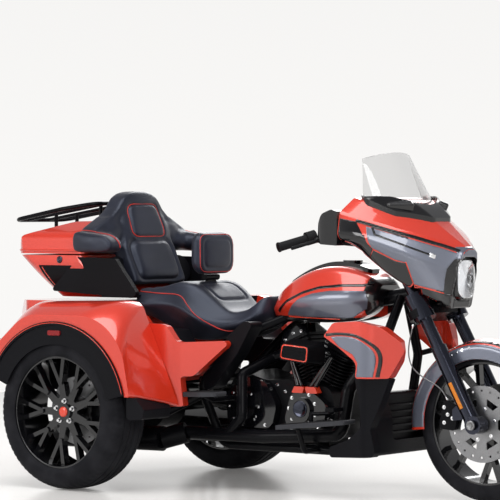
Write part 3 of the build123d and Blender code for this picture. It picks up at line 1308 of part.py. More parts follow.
NODES = {
    "front_tyre": lambda: at_front_axle(tyre(FRONT_TYRE_RADIUS, FRONT_TYRE_WIDTH, FRONT_RIM_RADIUS, FRONT_BEAD_HALF, FRONT_TREAD_HALF)),
    "front_rim": lambda: at_front_axle(front_rim()),
    "front_discs": lambda: at_front_axle(front_discs()),
    "rear_tyre_right": lambda: at_rear_axle(tyre(REAR_TYRE_RADIUS, REAR_TYRE_WIDTH, REAR_RIM_RADIUS, REAR_BEAD_HALF, REAR_TREAD_HALF)),
    "rear_rim_right": lambda: at_rear_axle(rear_rim()),
    "rear_disc_right": lambda: at_rear_axle(rear_disc()),
    "rear_tyre_left": lambda: left_of(built["rear_tyre_right"]),
    "rear_rim_left": lambda: left_of(built["rear_rim_right"]),
    "rear_disc_left": lambda: left_of(built["rear_disc_right"]),
    "fork_legs": fork_legs,
    "fork_covers": fork_covers,
    "fork_yokes": fork_yokes,
    "fork_reflectors": fork_reflectors,
    "front_fender": front_fender,
    "front_calipers": front_calipers,
    "handlebar": handlebar,
    "hand_controls": hand_controls,
    "mirrors": mirrors,
    "fairing_shell": fairing_shell,
    "fairing_inner": fairing_inner,
    "dash_units": lambda: together(dash_screen(), dash_speakers()),
    "headlamp": headlamp,
    "windshield": windshield,
    "windshield_vents": windshield_vents,
    "frame": frame,
    "engine_case": engine_case,
    "engine_cylinders": engine_cylinders,
    "valve_gear": lambda: together(rocker_covers(), pushrod_tubes()),
    "tappet_blocks": tappet_blocks,
    "engine_covers": lambda: together(cam_cover(), gearbox_cover(), primary_cover()),
    "air_cleaner": air_cleaner,
    "exhaust": exhaust,
    "fuel_tank": fuel_tank,
    "tank_console": tank_console,
    "seat": seat,
    "rider_backrest": rider_backrest,
    "backrest_post": backrest_post,
    "passenger_backrest": passenger_backrest,
    "speaker_pods": speaker_pods,
    "luggage_box": luggage_box,
    "box_cheeks": box_cheeks,
    "luggage_lid": luggage_lid,
    "luggage_rack": luggage_rack,
    "rear_fenders": lambda: pair(rear_fender()),
    "arch_trims": lambda: pair(arch_trim()),
    "trunk_body": trunk_body,
    "trunk_door": trunk_door,
    "rear_lamps": lambda: together(tail_lamps(), pair(arch_lamp())),
    "side_panels": lambda: pair(side_panel()),
    "body_guards": lambda: together(pair(frame_cover()), pair(fender_guard()), pair(seat_tray())),
    "rear_axle": rear_axle,
    "rear_suspension": lambda: together(trailing_arms(), rear_dampers()),
    "rear_calipers": rear_calipers,
    "lower_fairings": lambda: pair(lower_fairing()),
    "chin_covers": lambda: together(pair(lower_leg()), chin_cover()),
    "footboards": footboards,
    "board_brackets": lambda: together(board_brackets(), guard_bars()),
    "foot_pedals": foot_pedals,
}

built = {}
os.makedirs("parts", exist_ok=True)
for name, make in NODES.items():
    built[name] = make()
    export_step(built[name], f"parts/{name}.step")
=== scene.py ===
"""Looks of the touring trike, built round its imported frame. Metres, +X forward, +Y left, +Z up."""

import math

import bmesh
import bpy
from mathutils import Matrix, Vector
from mathutils.bvhtree import BVHTree
from mathutils.geometry import delaunay_2d_cdt, intersect_point_line


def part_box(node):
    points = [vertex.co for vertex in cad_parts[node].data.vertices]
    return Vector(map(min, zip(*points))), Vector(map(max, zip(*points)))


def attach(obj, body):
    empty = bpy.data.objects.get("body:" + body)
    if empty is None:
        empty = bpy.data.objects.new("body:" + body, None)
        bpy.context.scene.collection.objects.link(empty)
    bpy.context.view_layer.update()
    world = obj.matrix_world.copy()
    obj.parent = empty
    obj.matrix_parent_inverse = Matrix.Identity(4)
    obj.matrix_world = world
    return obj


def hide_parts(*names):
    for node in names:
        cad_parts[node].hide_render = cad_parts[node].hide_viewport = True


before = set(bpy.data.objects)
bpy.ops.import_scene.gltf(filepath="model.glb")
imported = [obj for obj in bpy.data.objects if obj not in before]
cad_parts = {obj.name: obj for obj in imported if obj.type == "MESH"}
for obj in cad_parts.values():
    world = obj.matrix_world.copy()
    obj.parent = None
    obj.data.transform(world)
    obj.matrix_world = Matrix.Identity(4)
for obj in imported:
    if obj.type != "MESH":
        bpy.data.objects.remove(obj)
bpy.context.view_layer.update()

MM = 0.001
RIGHT, LEFT = -1, 1
SIDES = ((RIGHT, "right"), (LEFT, "left"))
FORWARD, BACKWARD = (1, 0, 0), (-1, 0, 0)

# Bodies of the frame that the pieces ride on
CHASSIS, STEERING, LID = "chassis", "steering", "box_lid"
FRONT_WHEEL, RIGHT_WHEEL, LEFT_WHEEL = "front_wheel", "rear_wheel_right", "rear_wheel_left"

# Camera: place, heading and lens that show the right-hand front quarter
CAMERA_PLACE = (6.766, -9.425, 1.154)
CAMERA_HEADING = 36.30
CAMERA_DIP = 0.87
CAMERA_LENS = 202.6
CAMERA_SENSOR = 36
CAMERA_REACH = 60

# Finishes, as linear colours
ORANGE_RED = (0.61, 0.029, 0.009, 1)
STEEL_GREY = (0.130, 0.142, 0.185, 1)
BLACK = (0.0030, 0.0030, 0.0040, 1)
SATIN_BLACK = (0.0035, 0.0035, 0.0045, 1)
CASTING_BLACK = (0.0040, 0.0040, 0.0050, 1)
PLASTIC_BLACK = (0.0045, 0.0045, 0.0060, 1)
SMOKED_METAL = (0.030, 0.033, 0.048, 1)
BRIGHT_RED = (0.72, 0.045, 0.015, 1)
GROUND_STEEL = (0.24, 0.24, 0.245, 1)
POLISHED_METAL = (0.72, 0.72, 0.73, 1)
LAMP_SILVER = (0.86, 0.87, 0.90, 1)
GRIP_BLACK = (0.012, 0.012, 0.013, 1)
MAT_GREY = (0.042, 0.043, 0.048, 1)
TYRE_TONE = (0.012, 0.012, 0.014, 1)
TYRE_DARK = (0.008, 0.008, 0.010, 1)
TYRE_DUSTY = (0.016, 0.016, 0.019, 1)
SADDLE_BLACK = (0.010, 0.011, 0.019, 1)
SADDLE_RED = (0.46, 0.026, 0.014, 1)
LEATHER_GLEAM = (0.74, 0.82, 1.0, 1)
SCREEN_SMOKE = (0.80, 0.80, 0.80, 1)
CLEAR = (0.96, 0.97, 0.99, 1)
LAMP_RED = (0.34, 0.003, 0.006, 1)
LAMP_AMBER = (0.95, 0.30, 0.02, 1)
DISPLAY_BLACK = (0.004, 0.006, 0.012, 1)
PAINT_METALLIC, PAINT_ROUGHNESS = 0.20, 0.30
DULL_SPECULAR = 0.08

# Kinds of texture and their repeats in a metre
NOISE, CELLS = "ShaderNodeTexNoise", "ShaderNodeTexVoronoi"
FLAKE_SCALE, HAZE_SCALE, LENS_HAZE_SCALE = 900.0, 6.0, 4.0
TONE_SCALE, PEBBLE_SCALE = 9.0, 420.0
DUST_SCALE, TYRE_GRAIN_SCALE = 14.0, 700.0


# Materials


def set_stops(ramp, stops):
    """Gives a colour ramp its rows of (position, colour)."""
    while len(ramp.elements) < len(stops):
        ramp.elements.new(0.5)
    for element, (position, colour) in zip(ramp.elements, stops):
        element.position = position
        element.color = colour


def math_node(nodes, operation, number=None):
    """A maths node, with its second number where that is fixed."""
    node = nodes.new("ShaderNodeMath")
    node.operation = operation
    if number is not None:
        node.inputs[1].default_value = number
    return node


class Finish:
    """One material under construction: its node tree, its shader and its object coordinates."""

    def __init__(self, name, colour, roughness, metallic=0.0):
        self.material = bpy.data.materials.new(name)
        self.material.use_nodes = True
        self.nodes = self.material.node_tree.nodes
        self.links = self.material.node_tree.links
        self.shader = self.nodes["Principled BSDF"]
        self.shader.inputs["Base Color"].default_value = colour
        self.shader.inputs["Roughness"].default_value = roughness
        self.shader.inputs["Metallic"].default_value = metallic
        self.place = self.nodes.new("ShaderNodeTexCoord").outputs["Object"]

    def set(self, **sockets):
        """Sets shader sockets by their names, written with underscores."""
        for name, value in sockets.items():
            self.shader.inputs[name.replace("_", " ")].default_value = value
        return self

    def texture(self, kind, scale, **sockets):
        """A texture node on object coordinates."""
        node = self.nodes.new(kind)
        self.links.new(self.place, node.inputs["Vector"])
        node.inputs["Scale"].default_value = scale
        for name, value in sockets.items():
            node.inputs[name].default_value = value
        return node

    def ramp(self, source, stops):
        """A colour ramp from rows of (position, colour)."""
        node = self.nodes.new("ShaderNodeValToRGB")
        self.links.new(source, node.inputs["Fac"])
        set_stops(node.color_ramp, stops)
        return node.outputs["Color"]

    def tint(self, source, dark, light, low=0.35, high=0.65):
        """Colour that wanders between two tones with a texture."""
        self.links.new(self.ramp(source, [(low, dark), (high, light)]), self.shader.inputs["Base Color"])
        return self

    def rough(self, source, smooth, dull, low=0.3, high=0.7):
        """Roughness that wanders with a texture."""
        grey = self.ramp(source, [(low, (smooth,) * 3 + (1,)), (high, (dull,) * 3 + (1,))])
        self.links.new(grey, self.shader.inputs["Roughness"])
        return self

    def bump(self, source, strength, distance):
        """Fine relief from a texture."""
        node = self.nodes.new("ShaderNodeBump")
        node.inputs["Strength"].default_value = strength
        node.inputs["Distance"].default_value = distance
        self.links.new(source, node.inputs["Height"])
        self.links.new(node.outputs["Normal"], self.shader.inputs["Normal"])
        return self


def shade(colour, factor):
    """A colour made darker or lighter."""
    return tuple(c * factor for c in colour[:3]) + (1,)


def metal_flake_paint(name, colour, metallic, roughness):
    """Metallic paint: fine flake of varying tone under a clear coat."""
    finish = Finish(name, colour, roughness, metallic)
    flake = finish.texture(NOISE, FLAKE_SCALE, Detail=2.0)
    finish.tint(flake.outputs["Fac"], shade(colour, 0.93), shade(colour, 1.07))
    finish.rough(flake.outputs["Fac"], roughness * 0.85, roughness * 1.15)
    return finish.set(Coat_Weight=1.0, Coat_Roughness=0.04).material


def plain_gloss(name, colour, roughness, coat=0.0, metallic=0.0):
    """Smooth enamel or moulded gloss with faint handling haze."""
    finish = Finish(name, colour, roughness, metallic)
    haze = finish.texture(NOISE, HAZE_SCALE, Detail=5.0)
    finish.rough(haze.outputs["Fac"], roughness * 0.8, roughness * 1.3)
    finish.tint(haze.outputs["Fac"], shade(colour, 0.9), shade(colour, 1.1))
    return finish.set(Coat_Weight=coat, Coat_Roughness=0.05).material


def wrinkle_coat(name, colour, roughness, scale, depth):
    """Wrinkled or grained coating."""
    finish = Finish(name, colour, roughness).set(Specular_IOR_Level=DULL_SPECULAR)
    grain = finish.texture(NOISE, scale, Detail=3.0)
    finish.rough(grain.outputs["Fac"], roughness * 0.8, min(1.0, roughness * 1.25))
    finish.tint(grain.outputs["Fac"], shade(colour, 0.85), shade(colour, 1.15))
    return finish.bump(grain.outputs["Fac"], strength=0.5, distance=depth).material


def turned_metal(name, colour, roughness, scale):
    """Bare metal with fine turning marks and a little stain."""
    finish = Finish(name, colour, roughness, 1.0)
    marks = finish.texture(NOISE, scale, Detail=6.0, Roughness=0.7)
    finish.rough(marks.outputs["Fac"], roughness * 0.7, roughness * 1.4)
    finish.tint(marks.outputs["Fac"], shade(colour, 0.82), colour)
    return finish.material


def tyre_rubber():
    """Road rubber: dull, with dusty variation."""
    finish = Finish("tyre_rubber", TYRE_TONE, roughness=0.66).set(Specular_IOR_Level=DULL_SPECULAR)
    dust = finish.texture(NOISE, DUST_SCALE, Detail=8.0)
    finish.tint(dust.outputs["Fac"], TYRE_DARK, TYRE_DUSTY)
    grain = finish.texture(NOISE, TYRE_GRAIN_SCALE, Detail=2.0)
    return finish.bump(grain.outputs["Fac"], strength=0.3, distance=0.0004).material


def saddle_leather(name, colour, roughness):
    """Seat leather: pebbled grain and a soft sheen."""
    finish = Finish(name, colour, roughness)
    tone = finish.texture(NOISE, TONE_SCALE, Detail=4.0)
    finish.tint(tone.outputs["Fac"], shade(colour, 0.75), shade(colour, 1.25))
    finish.rough(tone.outputs["Fac"], roughness * 0.88, roughness * 1.15)
    pebble = finish.texture(CELLS, PEBBLE_SCALE)
    finish.bump(pebble.outputs["Distance"], strength=0.35, distance=0.0006)
    return finish.set(Sheen_Weight=0.04, Specular_IOR_Level=0.42, Specular_Tint=LEATHER_GLEAM).material


def clear_plastic(name, colour, roughness, weight):
    """See-through moulded lens or screen."""
    finish = Finish(name, colour, roughness)
    haze = finish.texture(NOISE, LENS_HAZE_SCALE, Detail=3.0)
    finish.rough(haze.outputs["Fac"], roughness * 0.7, roughness * 1.3)
    return finish.set(Transmission_Weight=weight, IOR=1.46).material


def part_black_paint(name, colour, tests, join):
    """Body paint, black where tests of (axis, comparison, limit) hold, joined as MAXIMUM or MINIMUM."""
    material = metal_flake_paint(name, colour, PAINT_METALLIC, PAINT_ROUGHNESS)
    nodes, links = material.node_tree.nodes, material.node_tree.links
    place = nodes.new("ShaderNodeSeparateXYZ")
    links.new(nodes["Texture Coordinate"].outputs["Object"], place.inputs[0])
    joined = math_node(nodes, join)
    for socket, (axis, comparison, limit) in zip(joined.inputs, tests):
        test = math_node(nodes, comparison, limit)
        links.new(place.outputs[axis], test.inputs[0])
        links.new(test.outputs[0], socket)
    split = nodes.new("ShaderNodeValToRGB")
    split.color_ramp.interpolation = "CONSTANT"
    set_stops(split.color_ramp, [(0.0, colour), (0.5, BLACK)])
    links.new(joined.outputs[0], split.inputs["Fac"])
    links.new(split.outputs["Color"], nodes["Principled BSDF"].inputs["Base Color"])
    return material


# Black fields of the tank's neck and floor, and of the fairing's nose round the lamp
TANK_BLACK = [("X", "GREATER_THAN", 0.498), ("Z", "LESS_THAN", 0.712)]
NOSE_BLACK = [("X", "GREATER_THAN", 0.835), ("Z", "LESS_THAN", 0.966)]
paint = metal_flake_paint("orange_red_paint", ORANGE_RED, PAINT_METALLIC, PAINT_ROUGHNESS)
tank_paint = part_black_paint("tank_paint", ORANGE_RED, TANK_BLACK, "MAXIMUM")
fairing_paint = part_black_paint("fairing_paint", ORANGE_RED, NOSE_BLACK, "MINIMUM")
grey_paint = metal_flake_paint("grey_metallic_paint", STEEL_GREY, metallic=0.55, roughness=0.34)
black_enamel = plain_gloss("black_enamel", BLACK, roughness=0.10, coat=0.25)
black_satin = wrinkle_coat("black_satin_coat", SATIN_BLACK, roughness=0.26, scale=400, depth=0.0001)
black_casting = wrinkle_coat("black_wrinkle_casting", CASTING_BLACK, roughness=0.36, scale=900, depth=0.0005)
black_plastic = wrinkle_coat("black_grained_plastic", PLASTIC_BLACK, roughness=0.36, scale=1100, depth=0.0003)
black_chrome = plain_gloss("black_chrome", SMOKED_METAL, roughness=0.13, coat=0.2, metallic=0.9)
bright_red = plain_gloss("bright_red_enamel", BRIGHT_RED, roughness=0.22, coat=0.5)
steel = turned_metal("ground_steel", GROUND_STEEL, roughness=0.36, scale=160)
chrome = plain_gloss("polished_chrome", POLISHED_METAL, roughness=0.08, metallic=1.0)
rubber = wrinkle_coat("soft_rubber", GRIP_BLACK, roughness=0.62, scale=500, depth=0.0004)
mat_rubber = wrinkle_coat("grey_mat_rubber", MAT_GREY, roughness=0.55, scale=500, depth=0.0004)
tyre_black = tyre_rubber()
leather = saddle_leather("saddle_leather", SADDLE_BLACK, roughness=0.40)
piping_red = saddle_leather("red_piping", SADDLE_RED, roughness=0.42)
screen_tint = clear_plastic("smoked_screen", SCREEN_SMOKE, roughness=0.03, weight=0.98)
lens_clear = clear_plastic("clear_lens", CLEAR, roughness=0.02, weight=0.98)
reflector = plain_gloss("lamp_reflector", LAMP_SILVER, roughness=0.20, metallic=0.55)
lens_red = clear_plastic("red_lens", LAMP_RED, roughness=0.08, weight=0.35)
display_glass = plain_gloss("display_glass", DISPLAY_BLACK, roughness=0.07, coat=1.0)
lens_amber = clear_plastic("amber_lens", LAMP_AMBER, roughness=0.12, weight=0.45)

# Finishes of the CAD nodes
NODE_FINISH = {
    paint: [
        "luggage_box", "luggage_lid", "rear_fenders", "trunk_body", "trunk_door", "side_panels",
        "lower_fairings", "front_fender",
    ],
    fairing_paint: ["fairing_shell"],
    black_enamel: [
        "front_rim", "rear_rim_right", "rear_rim_left", "engine_covers", "valve_gear", "tank_console",
        "mirrors", "windshield_vents",
    ],
    tank_paint: ["fuel_tank"],
    black_chrome: ["fork_legs", "fork_covers"],
    black_satin: [
        "fork_yokes", "handlebar", "frame", "exhaust", "rear_axle", "rear_suspension", "board_brackets",
        "foot_pedals", "luggage_rack", "backrest_post", "front_calipers", "rear_calipers",
    ],
    black_casting: ["engine_case", "engine_cylinders", "air_cleaner"],
    black_plastic: [
        "fairing_inner", "arch_trims", "body_guards", "chin_covers", "dash_units", "speaker_pods",
        "box_cheeks",
    ],
    bright_red: ["tappet_blocks"],
    steel: ["front_discs", "rear_disc_right", "rear_disc_left"],
    rubber: ["hand_controls"],
    mat_rubber: ["footboards"],
    tyre_black: ["front_tyre", "rear_tyre_right", "rear_tyre_left"],
    leather: ["seat", "rider_backrest", "passenger_backrest"],
    screen_tint: ["windshield"],
    lens_clear: ["headlamp"],
    lens_red: ["rear_lamps"],
    lens_amber: ["fork_reflectors"],
}
# Each CAD node takes its finish
for material, names in NODE_FINISH.items():
    for name in names:
        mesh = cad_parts[name].data
        mesh.materials.clear()
        mesh.materials.append(material)


def coat_faces(node, material, chosen):
    """Gives a second finish to the faces of a CAD node that chosen(centre, direction) picks."""
    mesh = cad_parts[node].data
    mesh.materials.append(material)
    for face in mesh.polygons:
        if chosen(face.center, face.normal):
            face.material_index = len(mesh.materials) - 1


REAR_AXLE = Vector((-0.650, 0, 0.318))
WHEEL_WELL, WELL_HALF, TRUNK_WELL_TOP = 0.420, 0.66, 0.56
LOOKS_INWARD, LOOKS_ASIDE = 0.02, 0.7
# Front ring of the fairing's nose, and the pocket behind the lamp
NOSE_RING_X, RING_FACING = 0.88, 0.8
POCKET_X, POCKET_HALF, POCKET_FACING = 0.75, 0.074, 0.6
POCKET_LOW, POCKET_HIGH = 0.785, 0.958


def in_wheel_well(centre, facing):
    """Faces of the body that look into a rear wheel's well."""
    across = Vector((REAR_AXLE.x - centre.x, 0, REAR_AXLE.z - centre.z))
    looks_in = facing.dot(across) > LOOKS_INWARD or abs(facing.y) > LOOKS_ASIDE
    return looks_in and across.length < WHEEL_WELL and abs(centre.y) < WELL_HALF


def in_trunk_well(centre, facing):
    """The same on the boot's body, under its deck."""
    return in_wheel_well(centre, facing) and centre.z < TRUNK_WELL_TOP


def on_nose_ring(centre, facing):
    """Faces of the fairing's nose that look ahead."""
    return centre.x > NOSE_RING_X and facing.x > RING_FACING


def in_lamp_pocket(centre, facing):
    """Faces of the fairing behind and beside the lamp."""
    level = abs(centre.y) < POCKET_HALF and POCKET_LOW < centre.z < POCKET_HIGH
    return level and centre.x > POCKET_X and facing.x < POCKET_FACING


coat_faces("rear_fenders", black_plastic, in_wheel_well)
coat_faces("trunk_body", black_plastic, in_trunk_well)
coat_faces("fairing_shell", black_enamel, on_nose_ring)
coat_faces("fairing_shell", black_enamel, in_lamp_pocket)


# Making and laying pieces


def new_object(name, data):
    """An object at the origin, linked to the scene."""
    thing = bpy.data.objects.new(name, data)
    bpy.context.scene.collection.objects.link(thing)
    return thing


def rework(mesh, change):
    """Works change(bm) on a mesh."""
    bm = bmesh.new()
    bm.from_mesh(mesh)
    change(bm)
    bm.to_mesh(mesh)
    bm.free()


def piece(name, verts, faces, material, body, closed=True):
    """A smooth mesh piece that rides on a body, with its finish."""
    mesh = bpy.data.meshes.new(name)
    mesh.from_pydata(verts, [], faces)
    mesh.validate()
    if closed:
        rework(mesh, lambda bm: bmesh.ops.recalc_face_normals(bm, faces=bm.faces))
    mesh.materials.append(material)
    for face in mesh.polygons:
        face.use_smooth = True
    thing = new_object(name, mesh)
    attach(thing, body)
    return thing


def ring_faces(rings, count, closed=False):
    """Faces over rings of count points, joined end to end when closed, else with flat ends."""
    faces = []
    for i in range(rings if closed else rings - 1):
        a, b = i * count, ((i + 1) % rings) * count
        for k in range(count):
            n = (k + 1) % count
            faces.append((a + k, a + n, b + n, b + k))
    if not closed:
        faces.append(tuple(range(count))[::-1])
        faces.append(tuple((rings - 1) * count + k for k in range(count)))
    return faces


def baked(thing):
    """The object's mesh with its modifiers worked in, as a plain mesh."""
    bpy.context.view_layer.update()
    graph = bpy.context.evaluated_depsgraph_get()
    mesh = bpy.data.meshes.new_from_object(thing.evaluated_get(graph))
    thing.modifiers.clear()
    old = thing.data
    thing.data = mesh
    bpy.data.meshes.remove(old)
    return thing


# Where rays start outside the vehicle, and how flat a side may lie to one
SIDE_START, FAR_START, GRAZING = 2.0, 3.0, 0.05


class Skin:
    """The outer surface of some objects, to lay films, trim and screws on."""

    def __init__(self, *things):
        verts, faces = [], []
        for thing in things:
            start = len(verts)
            verts.extend(v.co.copy() for v in thing.data.vertices)
            faces.extend([start + i for i in face.vertices] for face in thing.data.polygons)
        self.tree = BVHTree.FromPolygons(verts, faces)

    def meet(self, start, way):
        """Place and outward direction first met by a ray, or None."""
        place, normal, _, _ = self.tree.ray_cast(Vector(start), Vector(way))
        return None if place is None else (place, normal)

    def from_side(self, x, z, hand):
        """What is met from the right or left, unless it lies too flat to the ray."""
        hit = self.meet((x, hand * SIDE_START, z), (0, -hand, 0))
        return hit if hit and hit[1].y * hand >= GRAZING else None

    def from_right(self, x, z):
        """The same from the right."""
        return self.from_side(x, z, RIGHT)

    def from_front(self, y, z, way=1):
        """The same from the front, or from behind with way -1."""
        return self.meet((way * FAR_START, y, z), (-way, 0, 0))

    def from_above(self, x, y):
        """The same from above."""
        return self.meet((x, y, FAR_START), (0, 0, -1))

    def nearest(self, point):
        """Closest place on the skin and its outward direction."""
        place, normal, _, _ = self.tree.find_nearest(point)
        return place, normal


def skin_of(*nodes):
    """Skin of CAD nodes, by name."""
    return Skin(*(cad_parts[node] for node in nodes))


def inside(point, outline):
    """True where a flat point lies inside a closed outline."""
    x, y = point
    within = False
    for (ax, ay), (bx, by) in zip(outline, outline[1:] + outline[:1]):
        if (ay > y) != (by > y) and x < (bx - ax) * (y - ay) / (by - ay) + ax:
            within = not within
    return within


# Share of an edge that a rounded corner may take, and the steps of its arc
CORNER_SHARE = 0.45
CORNER_STEPS = (0, 0.25, 0.5, 0.75, 1)


def rounded(outline, bend):
    """A closed outline with each corner cut into a short arc."""
    points = []
    count = len(outline)
    for i, corner in enumerate(outline):
        here = Vector(corner)
        back = Vector(outline[i - 1]) - here
        ahead = Vector(outline[(i + 1) % count]) - here
        reach = min(bend, back.length * CORNER_SHARE, ahead.length * CORNER_SHARE)
        start, end = here + back.normalized() * reach, here + ahead.normalized() * reach
        for t in CORNER_STEPS:
            points.append(tuple(start * (1 - t) ** 2 + here * 2 * t * (1 - t) + end * t * t))
    return points


def band(path, width):
    """Closed outline of a stripe of one width that follows a path."""
    points = [Vector(p) for p in path]
    sides = []
    for i in range(len(points)):
        along = (points[min(i + 1, len(points) - 1)] - points[max(i - 1, 0)]).normalized()
        sides.append(Vector((-along.y, along.x)) * width / 2)
    out = [tuple(p + s) for p, s in zip(points, sides)]
    back = [tuple(p - s) for p, s in zip(points, sides)]
    return out + back[::-1]


def curve_through(points, count=8):
    """An open path eased through its points."""
    rows = [Vector(p) for p in points]
    rows = [rows[0] * 2 - rows[1]] + rows + [rows[-1] * 2 - rows[-2]]
    out = []
    for a, b, c, d in zip(rows, rows[1:], rows[2:], rows[3:]):
        for step in range(count):
            t = step / count
            line = b * 2 + (c - a) * t
            bend = (a * 2 - b * 5 + c * 4 - d) * t * t
            twist = (b * 3 - a - c * 3 + d) * t ** 3
            out.append(tuple((line + bend + twist) / 2))
    return out + [tuple(rows[-2])]


# Film lifts off the skin, lowest to highest layer
UNDER_FILM, FILM_LIFT, OVER_FILM = 0.4 * MM, 0.8 * MM, 1.5 * MM
FILM_THICKNESS = 0.6 * MM
FILM_PITCH = 5 * MM
# Triangulation: join distance, and the kind of output that keeps what lies inside the edge
FILM_JOIN, KEEP_INSIDE = 1e-6, 1


def drop_loose(bm):
    """Deletes points that no face uses."""
    bmesh.ops.delete(bm, geom=[v for v in bm.verts if not v.link_faces], context="VERTS")


def film(name, meet, outline, material, body, lift=FILM_LIFT):
    """Thin painted film: a flat outline in millimetres, laid on a skin by meet(a, b)."""
    edge = []
    rows = [Vector(p) * MM for p in outline]
    for here, ahead in zip(rows, rows[1:] + rows[:1]):
        steps = max(1, int((ahead - here).length / FILM_PITCH))
        edge.extend(here.lerp(ahead, step / steps) for step in range(steps))
    flat = [tuple(p) for p in edge]
    low = [min(p[i] for p in flat) for i in (0, 1)]
    high = [max(p[i] for p in flat) for i in (0, 1)]
    points = list(edge)
    across = int((high[0] - low[0]) / FILM_PITCH)
    upward = int((high[1] - low[1]) / FILM_PITCH)
    for i in range(1, across + 1):
        for j in range(1, upward + 1):
            spot = (low[0] + i * FILM_PITCH, low[1] + j * FILM_PITCH)
            if inside(spot, flat):
                points.append(Vector(spot))
    loop = [(i, (i + 1) % len(edge)) for i in range(len(edge))]
    spots, _, triangles, _, _, _ = delaunay_2d_cdt(points, loop, [], KEEP_INSIDE, FILM_JOIN)
    laid = [meet(*spot) for spot in spots]
    verts = [tuple(hit[0] + hit[1] * lift) if hit else (0, 0, 0) for hit in laid]
    faces = []
    for tri in triangles:
        if all(laid[i] for i in tri):
            corners = [Vector(verts[i]) for i in tri]
            facing = (corners[1] - corners[0]).cross(corners[2] - corners[0])
            faces.append(tri if facing.dot(laid[tri[0]][1]) > 0 else tri[::-1])
    thing = piece(name, verts, faces, material, body, closed=False)
    rework(thing.data, drop_loose)
    thick = thing.modifiers.new("film", "SOLIDIFY")
    thick.thickness = FILM_THICKNESS
    thick.offset = -1
    return thing


def side_film(name, skin, outline, material, body, lift=FILM_LIFT):
    """The same film on the right and, mirrored, on the left; the outline is in (x, z)."""
    for hand, side in SIDES:
        film(f"{name}_{side}", lambda x, z: skin.from_side(x, z, hand), outline, material, body, lift)


def tube(name, points, radius, material, body, closed=False, sides=10):
    """Round cord-like trim along a path in metres."""
    rows = [Vector(p) for p in points]
    count = len(rows)
    verts = []
    lateral = None
    for i, here in enumerate(rows):
        before = rows[i - 1] if (closed or i) else here
        after = rows[(i + 1) % count] if (closed or i < count - 1) else here
        along = (after - before).normalized()
        if lateral is None:
            lateral = along.orthogonal().normalized()
        lateral = (lateral - along * lateral.dot(along)).normalized()
        other = along.cross(lateral)
        for k in range(sides):
            angle = 2 * math.pi * k / sides
            verts.append(tuple(here + (lateral * math.cos(angle) + other * math.sin(angle)) * radius))
    return piece(name, verts, ring_faces(count, sides, closed), material, body)


def turned(name, profile, centre, axis, material, body, sides=40):
    """A piece turned about an axis from rows of (distance along it, radius) in millimetres."""
    axis = Vector(axis).normalized()
    first = axis.orthogonal().normalized()
    second = axis.cross(first)
    centre = Vector(centre)
    verts = []
    for along, radius in profile:
        for k in range(sides):
            angle = 2 * math.pi * k / sides
            ring = (first * math.cos(angle) + second * math.sin(angle)) * radius * MM
            verts.append(tuple(centre + axis * along * MM + ring))
    return piece(name, verts, ring_faces(len(profile), sides), material, body)


def at_angles(centre, radius, angles):
    """Flat points on a circle at angles in radians."""
    return [(centre[0] + radius * math.cos(a), centre[1] + radius * math.sin(a)) for a in angles]


def arc(centre, radius, start, end, count=40):
    """Flat points on an arc, angles in degrees from +X."""
    angles = [math.radians(start + (end - start) * k / count) for k in range(count + 1)]
    return at_angles(centre, radius, angles)


def in_metres(spots):
    """Flat places in millimetres, in metres."""
    return [(a * MM, b * MM) for a, b in spots]


def on_circle(centre, radius, count, start=0.0):
    """Flat places round a circle, in metres from millimetres."""
    angles = [math.radians(start) + 2 * math.pi * k / count for k in range(count)]
    return in_metres(at_angles(centre, radius, angles))


# Repeats by Geometry Nodes


def add_socket(tree, name, kind, way="INPUT"):
    """Adds a named input or output to a node tree and returns its identifier."""
    return tree.interface.new_socket(name, in_out=way, socket_type=kind).identifier


HEAD_CHAMFER = 0.82
WASHER_SPREAD, WASHER_SHARE, WASHER_SIDES = 1.35, 0.5, 14


